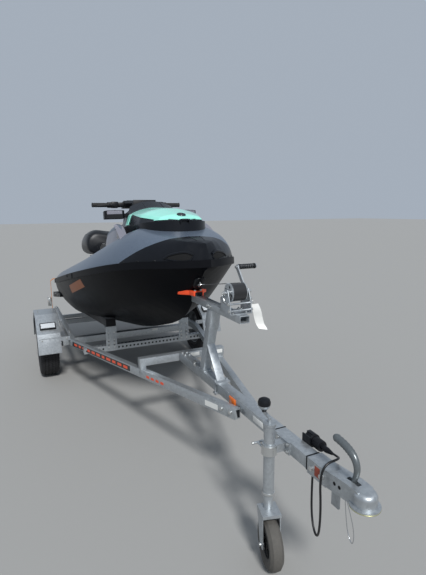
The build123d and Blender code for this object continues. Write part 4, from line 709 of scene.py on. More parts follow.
class Sketch:
    """A mesh being drawn in millimetres, before it becomes a piece."""

    def __init__(self, ground: Ground = Ground.TRAILER) -> None:
        """Starts an empty drawing in the trailer's frame, or in the craft's."""
        self.ground = ground
        self.mesh = bmesh.new()

    def add(self, part: bmesh.types.BMesh, place: Matrix = Matrix.Identity(4)) -> None:
        """Moves a part into place and joins it to the drawing.

        Args:
            part: the part, which is used up.
            place: its local frame.
        """
        part.transform(place)
        data = bpy.data.meshes.new("part")
        part.to_mesh(data)
        part.free()
        self.mesh.from_mesh(data)
        bpy.data.meshes.remove(data)

    def prism(
        self, outline: Points, place: Matrix, depth: float, bevel: float = 0.0, steps: int = 2
    ) -> None:
        """Adds an outline pushed out along the local third axis, with soft edges.

        Args:
            outline: the corners in the local plane, in order.
            place: the local frame.
            depth: how far it goes.
            bevel: the edges' radius.
            steps: runs in a bevel.
        """
        part = bmesh.new()
        foot = [part.verts.new((p[0], p[1], 0.0)) for p in outline]
        head = [part.verts.new((p[0], p[1], depth)) for p in outline]
        part.faces.new(list(reversed(foot)))
        part.faces.new(head)
        count = len(outline)
        for k in range(count):
            part.faces.new((foot[k], foot[(k + 1) % count], head[(k + 1) % count], head[k]))
        bmesh.ops.recalc_face_normals(part, faces=part.faces)
        if bevel:
            sharp = [e for e in part.edges if e.calc_face_angle(0.0) > BEVEL_FROM]
            bmesh.ops.bevel(
                part, geom=sharp, offset=bevel, segments=steps, profile=0.5, affect="EDGES",
                clamp_overlap=True,
            )
        self.add(part, place)

    def slab(
        self, low: Point, high: Point, bevel: float = 0.0, place: Matrix = Matrix.Identity(4)
    ) -> None:
        """Adds a box between two corners, with soft edges.

        Args:
            low: the corner with the smaller values.
            high: the corner with the larger values.
            bevel: the edges' radius.
            place: the local frame.
        """
        (x0, y0, z0), (x1, y1, z1) = low, high
        corners = [(x0, y0), (x1, y0), (x1, y1), (x0, y1)]
        self.prism(corners, place @ Matrix.Translation((0, 0, z0)), z1 - z0, bevel)

    def turn(self, profile: Points, place: Matrix, segments: int = 40) -> None:
        """Adds a profile of radius and height, turned about the local third axis.

        Args:
            profile: radius and height in order; a radius of zero closes an end.
            place: the local frame.
            segments: faces round the axis.
        """
        part = bmesh.new()
        rings = []
        for radius, height in profile:
            if radius < 1e-6:
                rings.append([part.verts.new((0.0, 0.0, height))])
                continue
            turns = [2 * math.pi * k / segments for k in range(segments)]
            spots = [(radius * math.cos(a), radius * math.sin(a), height) for a in turns]
            rings.append([part.verts.new(spot) for spot in spots])
        for low, high in zip(rings, rings[1:]):
            for k in range(segments):
                after = (k + 1) % segments
                corners = [low[k % len(low)], low[after % len(low)]]
                corners += [high[after % len(high)], high[k % len(high)]]
                corners = list(dict.fromkeys(corners))
                if len(corners) > 2:
                    part.faces.new(corners)
        self.add(part, place)

    def loft(self, rings: Sequence[Points], caps: bool = True) -> None:
        """Adds a skin through closed rings of the same number of points.

        Args:
            rings: the rings in order.
            caps: whether both ends are closed.
        """
        part = bmesh.new()
        made = [[part.verts.new(p) for p in ring] for ring in rings]
        count = len(made[0])
        for low, high in zip(made, made[1:]):
            for k in range(count):
                part.faces.new((low[k], low[(k + 1) % count], high[(k + 1) % count], high[k]))
        if caps:
            part.faces.new(list(reversed(made[0])))
            part.faces.new(made[-1])
        bmesh.ops.recalc_face_normals(part, faces=part.faces)
        self.add(part)

    def tube(
        self, line: Points, radii: Point | float, segments: int = 12, flat: float = 1.0
    ) -> None:
        """Adds a round or flattened bar along a line, with closed ends.

        Args:
            line: the middle line's points.
            radii: one radius, or one for each point.
            segments: faces round the bar.
            flat: the second half axis against the first.
        """
        spots = [Vector(p) for p in line]
        sizes = [radii] * len(spots) if isinstance(radii, (int, float)) else list(radii)
        ways = directions(spots)
        side = ways[0].orthogonal().normalized()
        rings = []
        for spot, way, size in zip(spots, ways, sizes):
            side = (side - way * side.dot(way)).normalized()
            other = way.cross(side)
            turns = [2 * math.pi * k / segments for k in range(segments)]
            rims = [side * math.cos(a) + other * math.sin(a) * flat for a in turns]
            rings.append([spot + rim * size for rim in rims])
        self.loft(rings)

    def ribbon(
        self, line: Points, across: Sequence[Vector], width: float, thick: float
    ) -> None:
        """Adds a flat band with rounded edges along a line.

        Args:
            line: the middle line's points.
            across: the band's cross direction at each point.
            width: the band's width.
            thick: its thickness.
        """
        spots = [Vector(p) for p in line]
        half, skin = width / 2, thick / 2
        flat = half - skin
        shape = [(-half, 0), (-flat, -skin), (flat, -skin), (half, 0), (flat, skin), (-flat, skin)]
        rings = []
        for spot, way, side in zip(spots, directions(spots), across):
            up = way.cross(side).normalized()
            rings.append([spot + side.normalized() * a + up * b for a, b in shape])
        self.loft(rings)

    def bolt(
        self, at: Point, out: Point, flats: float = 17.0, washer: bool = True, nut: bool = False
    ) -> None:
        """Adds a hexagon head or a nut with its stud, on a washer.

        Args:
            at: where the washer rests.
            out: the direction away from the surface.
            flats: the width across flats.
            washer: whether there is a washer.
            nut: a nut with a stud's end rather than a head.
        """
        place = frame_at(at, out)
        rise, head, bevel = 0.0, flats * 0.42, flats * 0.05
        if washer:
            rim, rise = flats * 0.62, flats * 0.10
            self.turn([(0, 0), (rim, 0), (rim, rise), (0, rise)], place, 20)
        corner = flats / math.sqrt(3.0)
        turns = [k * math.pi / 3 for k in range(6)]
        hexagon = [(corner * math.cos(a), corner * math.sin(a)) for a in turns]
        self.prism(hexagon, place @ Matrix.Translation((0, 0, rise)), head, bevel, 1)
        if nut:
            stud, top = flats * 0.29, rise + head
            neck, tip = top + flats * 0.3, top + flats * 0.38
            self.turn([(stud, top - 1), (stud, neck), (stud * 0.7, tip), (0, tip)], place, 14)

    def cling(
        self, surface: Surface, outline: Points, place: Matrix, spacing: float, lift: float,
        edge: float = 0.0, sink: float = 1.0,
    ) -> None:
        """Adds a thin sheet that lies on a surface, cut to a convex outline.

        Args:
            surface: what it lies on.
            outline: the corners in the local plane, in either order.
            place: the local frame; rays run against its third axis.
            spacing: the size of its faces.
            lift: its thickness.
            edge: the width of its rounded edge.
            sink: how far the rim goes into the surface.
        """
        part = bmesh.new()
        outline = anticlockwise(outline)
        us, vs = [p[0] for p in outline], [p[1] for p in outline]
        start_u, start_v = min(us), min(vs)
        long, wide = max(us) - start_u, max(vs) - start_v
        columns = max(int(long / spacing), 1)
        rows = max(int(wide / spacing), 1)
        across = [start_u + long * i / columns for i in range(columns + 1)]
        up = [start_v + wide * j / rows for j in range(rows + 1)]
        grid = [[part.verts.new((u, v, 0)) for u in across] for v in up]
        for low, high in zip(grid, grid[1:]):
            for i in range(columns):
                part.faces.new((low[i], low[i + 1], high[i + 1], high[i]))
        for start, end in zip(outline, [*outline[1:], outline[0]]):
            du, dv = end[0] - start[0], end[1] - start[1]
            bmesh.ops.bisect_plane(
                part, geom=[*part.verts, *part.edges, *part.faces], dist=0.01,
                plane_co=(start[0], start[1], 0), plane_no=(dv, -du, 0), clear_outer=True,
            )
        bmesh.ops.remove_doubles(part, verts=part.verts, dist=0.2)
        if edge:
            bmesh.ops.inset_region(part, faces=part.faces, thickness=edge, use_boundary=True)
        rim = {v for e in part.edges if e.is_boundary for v in e.verts}
        back = place.inverted()
        out = place.to_3x3() @ Vector(UP)
        lost = []
        for vert in part.verts:
            found = surface.hit(place @ (vert.co + Vector((0, 0, RAY_START))), -out)
            if found is None:
                lost.append(vert)
                continue
            rise = lift * (0.35 if edge and vert in rim else 1.0)
            vert.co = back @ (found[0] + found[1] * rise)
        bmesh.ops.delete(part, geom=lost, context="VERTS")
        skirt = bmesh.ops.extrude_edge_only(part, edges=[e for e in part.edges if e.is_boundary])
        for vert in [g for g in skirt["geom"] if isinstance(g, bmesh.types.BMVert)]:
            vert.co.z -= lift + sink
        self.add(part, place)

    def seam(
        self, surface: Surface, line: Points, place: Matrix, width: float, rise: float,
        spacing: float = 12.0,
    ) -> None:
        """Adds a low rounded bead that follows a line on a surface.

        Args:
            surface: what it lies on.
            line: points in the local plane.
            place: the local frame; rays run against its third axis.
            width: the bead's width.
            rise: its height.
            spacing: the distance between its rings.
        """
        out = place.to_3x3() @ Vector(UP)
        spots = []
        for a, b in zip(line, line[1:]):
            count = max(int((Vector(b) - Vector(a)).length / spacing), 1)
            spots.extend(Vector(a) + (Vector(b) - Vector(a)) * k / count for k in range(count))
        spots.append(Vector(line[-1]))
        found = [surface.hit(place @ Vector((p[0], p[1], RAY_START)), -out) for p in spots]
        found = [f for f in found if f]
        shape = ((-0.5, -0.6), (-0.42, 0.55), (-0.2, 0.95), (0.2, 0.95), (0.42, 0.55), (0.5, -0.6))
        rings = []
        for k, (spot, normal) in enumerate(found):
            ahead = found[min(k + 1, len(found) - 1)][0] - found[max(k - 1, 0)][0]
            side = ahead.cross(normal).normalized()
            rings.append([spot + side * a * width + normal * b * rise for a, b in shape])
        if len(rings) > 1:
            self.loft(rings)

    def piece(self, name: str, finish: Finish, body: str, slot: str, crisp: float = 32.0) -> Object:
        """Turns the drawing into a piece that rides on a body.

        Args:
            name: the piece's name.
            finish: the surface.
            body: the body that it rides on.
            slot: not used.
            crisp: edges that turn by more degrees than this stay crisp.

        Returns:
            The new object.
        """
        mesh = self.mesh
        mesh.transform(self.ground.matrix())
        bmesh.ops.recalc_face_normals(mesh, faces=mesh.faces)
        limit = math.radians(crisp)
        for edge in mesh.edges:
            edge.smooth = len(edge.link_faces) == 2 and edge.calc_face_angle(0.0) < limit
        for face in mesh.faces:
            face.smooth = True
        data = bpy.data.meshes.new(name)
        mesh.to_mesh(data)
        mesh.free()
        data.materials.append(finish.material())
        made = link_new(name, data)
        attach(made, body)
        LOG.info("made %s, %d faces", name, len(data.polygons))
        return made


@dataclass
class Stage:
    """The pale floor, the soft studio light and the camera of the photograph."""

    camera_at: Point = (3.255475, -1.033, 1.527)
    yaw: float = math.radians(-25.29)
    pitch: float = math.radians(10.11)
    roll: float = math.radians(-0.36)
    focal_px: float = 428.4
    long_px: int = 575
    sun_from: Point = (0.70, -0.10, 0.72)
    sun_strength: float = 3.2
    sun_width: float = math.radians(10.0)
    sky_colour: str = "#cfdbea"
    sky_strength: float = 0.6
    floor_colour: str = "#9b9a97"
    floor_half: float = 60.0

    def camera(self) -> None:
        """Sets the camera to the photograph's place and lens."""
        data = bpy.data.cameras.new("camera")
        data.sensor_width = 36.0
        data.lens = self.focal_px / self.long_px * data.sensor_width
        data.clip_end = 200.0
        camera = link_new("camera", data)
        ahead = Vector((-math.cos(self.yaw), -math.sin(self.yaw), 0.0))
        up = Vector((0.0, 0.0, 1.0))
        look = ahead * math.cos(self.pitch) - up * math.sin(self.pitch)
        right = ahead.cross(up)
        head = right.cross(look)
        side = right * math.cos(self.roll) + head * math.sin(self.roll)
        crown = head * math.cos(self.roll) - right * math.sin(self.roll)
        turn = Matrix((side, crown, -look)).transposed().to_4x4()
        camera.matrix_world = Matrix.Translation(self.camera_at) @ turn
        bpy.context.scene.camera = camera

    def lights(self) -> None:
        """A broad sun from ahead and a pale sky."""
        sun = bpy.data.lights.new("sun", "SUN")
        sun.energy = self.sun_strength
        sun.angle = self.sun_width
        lamp = link_new("sun", sun)
        lamp.rotation_mode = "QUATERNION"
        lamp.rotation_quaternion = Vector(self.sun_from).to_track_quat("Z", "Y")
        world = bpy.data.worlds.new("sky")
        world.use_nodes = True
        background = world.node_tree.nodes["Background"]
        background.inputs["Color"].default_value = linear(self.sky_colour)
        background.inputs["Strength"].default_value = self.sky_strength
        bpy.context.scene.world = world

    def floor(self) -> None:
        """A large pale floor at the ground."""
        mesh = bmesh.new()
        bmesh.ops.create_grid(mesh, x_segments=1, y_segments=1, size=self.floor_half)
        data = bpy.data.meshes.new("floor")
        mesh.to_mesh(data)
        mesh.free()
        material = bpy.data.materials.new("floor_paint")
        material.use_nodes = True
        shader = material.node_tree.nodes["Principled BSDF"]
        shader.inputs["Base Color"].default_value = linear(self.floor_colour)
        shader.inputs["Roughness"].default_value = 0.9
        data.materials.append(material)
        floor = link_new("floor", data)

    def build(self) -> None:
        """Makes the whole stage."""
        self.camera()
        self.lights()
        self.floor()
        bpy.context.scene.view_settings.view_transform = "Standard"


@dataclass
class Lines:
    """The lamp cable and the thin safety cable, along their routes in trailer millimetres."""

    frame: dict
    cable_route: Points = (
        (2983, 0, 506), (2984, -4, 420), (3006, -18, 310), (3050, -34, 262), (3088, -46, 290),
        (3102, -54, 420), (3094, -58, 542), (3094, -34, 596), (3092, 36, 596), (3050, 62, 576),
        (2990, 62, 570),
    )
    cable_diameter: float = 9.0
    cable_length: float = 0.78
    wire_route: Points = (
        (3150, 14, 514), (3156, 16, 430), (3176, 14, 340), (3212, 6, 322), (3226, -4, 390),
        (3206, -12, 470), (3180, -14, 520),
    )
    wire_diameter: float = 3.2
    wire_length: float = 0.41

    def _curve(self, name: str, route: Points, diameter: float, finish: Finish) -> Object:
        """A smooth curve whose control points are a route.

        Args:
            name: the piece's name.
            route: the points in trailer millimetres.
            diameter: in millimetres.
            finish: the surface.

        Returns:
            The curve, riding on the trailer.
        """
        data = bpy.data.curves.new(name, "CURVE")
        data.dimensions = "3D"
        data.bevel_depth = diameter / 2 * MM
        data.bevel_resolution = 5
        data.resolution_u = 12
        data.use_fill_caps = True
        spline = data.splines.new("NURBS")
        spline.points.add(len(route) - 1)
        for point, spot in zip(spline.points, route):
            point.co = (*(Ground.TRAILER.matrix() @ Vector(spot)), 1.0)
        spline.order_u = 3
        spline.use_endpoint_u = True
        data.materials.append(finish.material())
        made = link_new(name, data)
        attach(made, ROOT)
        return made

    def build(self) -> None:
        """Makes both cords and the cable's sleeves."""
        cable = self._curve("lamp_cable", self.cable_route, self.cable_diameter, SHEATH)
        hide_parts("cable")
        matrix = Ground.TRAILER.matrix()
        wire = self._curve("safety_wire", self.wire_route, self.wire_diameter, STAINLESS)
        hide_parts("safety_cable")
        sketch = Sketch()
        sleeve = frame_at((2988, 62, 570), (1, 0, 0.06))
        profile = [(12.5, -6)]
        for k in range(5):
            rib, start = 12.0 - k * 1.3, k * 7.0
            neck = rib - 1.6
            profile += [(rib, start), (rib, start + 4.5), (neck, start + 5.0), (neck, start + 6.8)]
        profile += [(5.2, 36), (4.7, 36)]
        sketch.turn(profile, sleeve, 24)
        grommet = frame_at((2983, 0, 506), (0, 0, -1))
        sketch.turn([(5, -2), (11, -2), (11, 3), (8, 6), (6.5, 16), (4.8, 20)], grommet, 24)
        sketch.piece("cable_sleeves", TRIM, ROOT, "cable_black")


@dataclass
class Seats:
    """The driver's and the passenger's seats: swelled vinyl covers with welts and stitches.

    A shape gives shares of the half width and of the height from the foot's middle to the crown's
    middle. A station gives x, half width, top and foot. swell is how far a cover may move, in mm,
    foot how much of its foot is held and voxel its mesh size, in m.
    """

    swell: float = 7.0
    foot: float = 0.012
    voxel: float = 0.009
    pressure: float = 4.0
    steps: int = 20
    driver_shape: Points = (
        (0, 0), (0.84, 0), (0.96, 0.10), (0.985, 0.42), (0.93, 0.78), (0.72, 0.95), (0.4, 1.0),
        (0, 0.985),
    )
    driver_stations: Points = (
        (966, 168, 806, 690), (974, 184, 822, 684), (1040, 187, 806, 684), (1200, 182, 790, 684),
        (1400, 172, 780, 684), (1560, 160, 790, 684), (1690, 146, 806, 684), (1762, 128, 792, 684),
        (1778, 112, 760, 694),
    )
    driver_welt: Points = ((985, 150), (1200, 146), (1400, 136), (1690, 112), (1750, 84))
    driver_thread: Points = ((985, 143), (1200, 139), (1400, 129), (1690, 105))
    passenger_shape: Points = (
        (0, 0), (0.70, 0), (0.93, 0.13), (0.985, 0.42), (0.93, 0.76), (0.68, 0.985), (0.40, 0.955),
        (0, 0.86),
    )
    passenger_stations: Points = (
        (484, 270, 885, 692), (494, 298, 905, 684), (580, 316, 948, 684), (760, 318, 955, 684),
        (880, 316, 953, 684), (936, 304, 925, 684), (952, 282, 885, 692),
    )
    passenger_welt: Points = ((505, 236), (600, 262), (900, 262), (936, 238))

    def _inflate(self, made: Object, floor: float, limit: float) -> None:
        """Swells a closed cover with cloth pressure and keeps its foot flat.

        Args:
            made: the piece, still in metres of the craft's level frame.
            floor: the height below which points are held, in metres.
            limit: how far a point may move, in metres.
        """
        held = made.vertex_groups.new(name="held")
        low = [v.index for v in made.data.vertices if v.co.z < floor + self.foot]
        held.add(low, 1.0, "REPLACE")
        start = [v.co.copy() for v in made.data.vertices]
        cloth = made.modifiers.new("cloth", "CLOTH")
        cloth.settings.quality = 4
        cloth.settings.use_pressure = True
        cloth.settings.uniform_pressure_force = self.pressure
        cloth.settings.effector_weights.gravity = 0.0
        cloth.settings.vertex_group_mass = "held"
        cloth.settings.tension_stiffness = 25.0
        cloth.settings.bending_stiffness = 2.0
        cloth.collision_settings.use_collision = False
        cloth.point_cache.frame_start, cloth.point_cache.frame_end = 1, self.steps
        for step in range(1, self.steps + 1):
            bpy.context.scene.frame_set(step)
        graph = bpy.context.evaluated_depsgraph_get()
        swelled = made.evaluated_get(graph)
        spots = [v.co.copy() for v in swelled.data.vertices]
        made.modifiers.remove(cloth)
        for vert, before, after in zip(made.data.vertices, start, spots):
            move = after - before
            if move.length > limit:
                move *= limit / move.length
            vert.co = before + move
            vert.co.z = max(vert.co.z, floor)
        made.vertex_groups.remove(held)
        bpy.context.scene.frame_set(1)

    def _settle(self, made: Object) -> None:
        """Replaces a piece's mesh with what its modifiers make of it.

        Args:
            made: the piece.
        """
        graph = bpy.context.evaluated_depsgraph_get()
        data = bpy.data.meshes.new_from_object(made.evaluated_get(graph))
        made.modifiers.clear()
        made.data = data

    def _cover(self, name: str, stations: Points, shape: Points) -> Object:
        """A closed cover through its rings, swelled, smooth and placed on the craft.

        Args:
            name: the piece's name.
            stations: the rings' sizes.
            shape: the right half of a ring.

        Returns:
            The finished piece.
        """
        sketch = Sketch(CRAFT)
        rings = []
        for x, half, top, foot in stations:
            ring = [(half * a, b) for a, b in shape] + [(-half * a, b) for a, b in shape[-2:0:-1]]
            rings.append([Vector((x, y, foot + (top - foot) * b)) * MM for y, b in ring])
        sketch.loft(rings)
        data = bpy.data.meshes.new(name)
        sketch.mesh.to_mesh(data)
        sketch.mesh.free()
        made = link_new(name, data)
        made.modifiers.new("round", "SUBSURF").levels = 2
        remesh = made.modifiers.new("even", "REMESH")
        remesh.mode = "VOXEL"
        remesh.voxel_size = self.voxel
        smooth = made.modifiers.new("soften", "SMOOTH")
        smooth.iterations = 8
        self._settle(made)
        self._inflate(made, min(v.co.z for v in made.data.vertices), self.swell * MM)
        made.modifiers.new("fine", "SUBSURF").levels = 1
        self._settle(made)
        made.data.transform(CRAFT.matrix() @ Matrix.Scale(1 / MM, 4))
        for face in made.data.polygons:
            face.use_smooth = True
        made.data.materials.clear()
        made.data.materials.append(VINYL.material())
        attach(made, ROOT)
        LOG.info("made %s, %d faces", name, len(made.data.polygons))
        return made

    def _stitching(self, driver: Object, passenger: Object) -> None:
        """Welts, sewn channels and stitches that lie on both covers.

        Args:
            driver: the driver's cover.
            passenger: the passenger's cover.
        """
        skin = Surface([driver, passenger], CRAFT)
        welts, threads = Sketch(CRAFT), Sketch(CRAFT)
        for side in (-1, 1):
            for line in (self.driver_welt, self.passenger_welt):
                welts.seam(skin, mirrored(line, side), CRAFT_DOWN, 6, 2.6)
        channels = [(1130, 146), (1160, 146), (1190, 145), (1220, 144)]
        channels += [(x, 200) for x in (600, 640, 680, 720, 760, 800)]
        for x, half in channels:
            welts.seam(skin, [(x, -half), (x, half)], CRAFT_DOWN, 5, 1.6)
        welts.piece("seat_welts", VINYL, ROOT, "seat_vinyl")
        for side in (-1, 1):
            for start, end in zip(self.driver_thread, self.driver_thread[1:]):
                run = Vector(end) - Vector(start)
                count = int(run.length / 9)
                for k in range(count):
                    ends = [Vector(start) + run * share / count for share in (k, k + 0.55)]
                    threads.seam(skin, mirrored(ends, side), CRAFT_DOWN, 1.6, 0.7, 4)
        threads.piece("seat_stitches", LABEL, ROOT, "seat_vinyl")

    def build(self) -> None:
        """Makes both covers and their stitching."""
        driver = self._cover("driver_seat_cover", self.driver_stations, self.driver_shape)
        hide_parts("driver_seat")
        sizes = self.passenger_stations, self.passenger_shape
        passenger = self._cover("passenger_seat_cover", *sizes)
        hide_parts("passenger_seat")
        self._stitching(driver, passenger)


@dataclass
class CarriedNodes:
    """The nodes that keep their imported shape: crisp edges are softened and each gets its finish.

    weld is how near doubled points lie, in m, and soft_edges gives the bevels in mm.
    """

    frame: dict
    crisp_deg: float = 30.0
    bevel_from_deg: float = 40.0
    weld: float = 0.00002
    soft_edges: dict = field(
        default_factory=lambda: {
            "side_rails": 4.0, "drawbar": 4.0, "cross_members": 3.0, "axle": 3.0, "winch_post": 3.0,
            "winch_arm": 3.0, "steering_tower": 6.0, "handlebar_pad": 6.0, "bunks": 8.0,
            "winch_frame": 0.8, "mudguards": 0.8, "glovebox_lid": 3.0, "reverse_bucket": 4.0,
            "bow_stop": 4.0, "sponsons": 3.0, "ratchets": 1.5,
        }
    )

    def _shading(self) -> Tree:
        """A node group that joins doubled points and shades smooth between crisp edges.

        Returns:
            The node group.
        """
        tree = bpy.data.node_groups.new("crisp_shading", "GeometryNodeTree")
        tree.interface.new_socket("Geometry", in_out="INPUT", socket_type="NodeSocketGeometry")
        tree.interface.new_socket("Geometry", in_out="OUTPUT", socket_type="NodeSocketGeometry")
        start = add_node(tree, "NodeGroupInput")
        joined = add_node(
            tree, "GeometryNodeMergeByDistance", values={"Distance": self.weld},
            links={"Geometry": start.outputs[0]},
        )
        faces = add_node(
            tree, "GeometryNodeSetShadeSmooth", {"domain": "FACE"}, {"Shade Smooth": True},
            {"Geometry": joined.outputs[0]},
        )
        angle = add_node(tree, "GeometryNodeInputMeshEdgeAngle")
        gentle = add_node(
            tree, "FunctionNodeCompare", {"data_type": "FLOAT", "operation": "LESS_THAN"},
            {1: math.radians(self.crisp_deg)}, {0: angle.outputs["Unsigned Angle"]},
        )
        edges = add_node(
            tree, "GeometryNodeSetShadeSmooth", {"domain": "EDGE"},
            links={"Geometry": faces.outputs[0], "Shade Smooth": gentle.outputs[0]},
        )
        add_node(tree, "NodeGroupOutput", links={0: edges.outputs[0]})
        return tree

    def build(self) -> None:
        """Dresses every node."""
        shading = self._shading()
        for finish, names in NODE_FINISH.items():
            for name in names:
                node = self.frame["nodes"][name]
                node.data.materials.clear()
                node.data.materials.append(finish.material())
                width = self.soft_edges.get(name)
                if width:
                    weld = node.modifiers.new("weld", "WELD")
                    weld.merge_threshold = self.weld
                    flat = node.modifiers.new("flat", "DECIMATE")
                    flat.decimate_type = "DISSOLVE"
                    flat.angle_limit = math.radians(1.0)
                    edge = node.modifiers.new("edge", "BEVEL")
                    edge.width = width * MM
                    edge.segments = 2
                    edge.limit_method = "ANGLE"
                    edge.angle_limit = math.radians(self.bevel_from_deg)
                node.modifiers.new("shading", "NODES").node_group = shading
        LOG.info("dressed %d nodes", sum(len(names) for names in NODE_FINISH.values()))


# The foot of the bow eye in the craft's frame, and how far it points below level
BOW_EYE = (3192.0, 0.0, 497.0)
BOW_EYE_TILT = math.radians(42)


@dataclass
class Fairing:
    """What lies on the bow fairing and the stem: vents, creases, plugs and the eye's plate."""

    frame: dict
    vent_at: Point = (3235.0, 133.0, 652.0)
    vent_out: Point = (0.72, 0.69)
    vent: Points = (
        (8, -84), (-17, -66), (-20, -20), (-12, 40), (-4, 88), (13, 62), (22, 0), (22, -50),
    )
    upper_lip: Points = ((-5, 96), (14, 62), (26, 0), (27, -50), (12, -88))
    lower_lip: Points = ((12, -88), (-20, -70), (-24, -20), (-16, 40), (-5, 96))
    fold: Points = (
        (2926, 376), (2985, 330), (3040, 280), (3085, 225), (3100, 150), (3104, 62),
    )
    nose: Points = ((3120, 40), (3200, 34), (3262, 26))
    plug_spots: Points = ((2913, 392, 630), (3010, 320, 632), (3105, 238, 632))

    def _vents(self, skin: Surface) -> None:
        """Two painted-shade teardrop slots, one in each cheek, with a thick upper and a thin lower
        lip.

        Args:
            skin: the fairing's surface.
        """
        lips, dark = Sketch(CRAFT), Sketch(CRAFT)
        x, y, z = self.vent_at
        for side in (-1, 1):
            place = frame_at((x, side * y, z), (self.vent_out[0], side * self.vent_out[1], 0.0))
            # Painted shade: a black sheet on the fairing stands for the dark inside of the slot
            dark.cling(skin, rounded(mirrored(self.vent, -side), 10), place, 8, 1.6)
            for lip, width, rise in ((self.upper_lip, 17, 9), (self.lower_lip, 9, 4.5)):
                lips.seam(skin, mirrored(smooth_line(lip, 5), -side), place, width, rise, 8)
        lips.piece("fairing_vent_lips", FAIRING, ROOT, "trim_black")
        dark.piece("fairing_vent_painted_shade", MESH, ROOT, "trim_black")

    def _creases(self, skin: Surface) -> None:
        """The folded edge over the cheeks and the beads beside the nose.

        Args:
            skin: the fairing's surface.
        """
        fold = Sketch(CRAFT)
        for side in (-1, 1):
            fold.seam(skin, mirrored(self.fold, side), CRAFT_DOWN, 9, 3.4, 10)
            fold.seam(skin, mirrored(self.nose, side), CRAFT_DOWN, 5, 2.2, 10)
        fold.piece("fairing_creases", FAIRING, ROOT, "trim_black")

    def _plugs(self, skin: Surface) -> None:
        """Round plugs over the fairing's screws.

        Args:
            skin: the fairing's surface.
        """
        plugs = Sketch(CRAFT)
        profile = [(0, 1.0), (4, 1.0), (5, 2.4), (11, 2.4), (12.5, 1.2), (12.5, -2)]
        for side in (-1, 1):
            for x, y, z in self.plug_spots:
                found = skin.hit((x + 300, side * (y + 300), z), (-1, -side, 0))
                if found:
                    plugs.turn(profile, frame_at(found[0], found[1]), 18)
        plugs.piece("fairing_plugs", TRIM, ROOT, "trim_black")

    def _stem(self) -> None:
        """The moulded plate round the bow eye, with its two nuts."""
        skin = Surface([self.frame["nodes"]["hull"]], CRAFT)
        plate = Sketch(CRAFT)
        out = Vector((math.cos(BOW_EYE_TILT), 0, -math.sin(BOW_EYE_TILT)))
        found = skin.hit(Vector(BOW_EYE) + out * 200, -out)
        place = frame_at(found[0], out, (0, 1, 0))
        plate.prism(box_outline(34, 46, 26, 0, 8), place @ Matrix.Translation((0, 0, -36)), 41, 5)
        for v in (-24, 42):
            plate.bolt(place @ Vector((0, v, 5)), out, 11)
        plate.piece("bow_eye_plate", TRIM, ROOT, "trim_black")

    def build(self) -> None:
        """Makes everything on the bow."""
        skin = Surface([self.frame["nodes"]["bow_fairing"]], CRAFT)
        self._vents(skin)
        self._creases(skin)
        self._plugs(skin)
        self._stem()


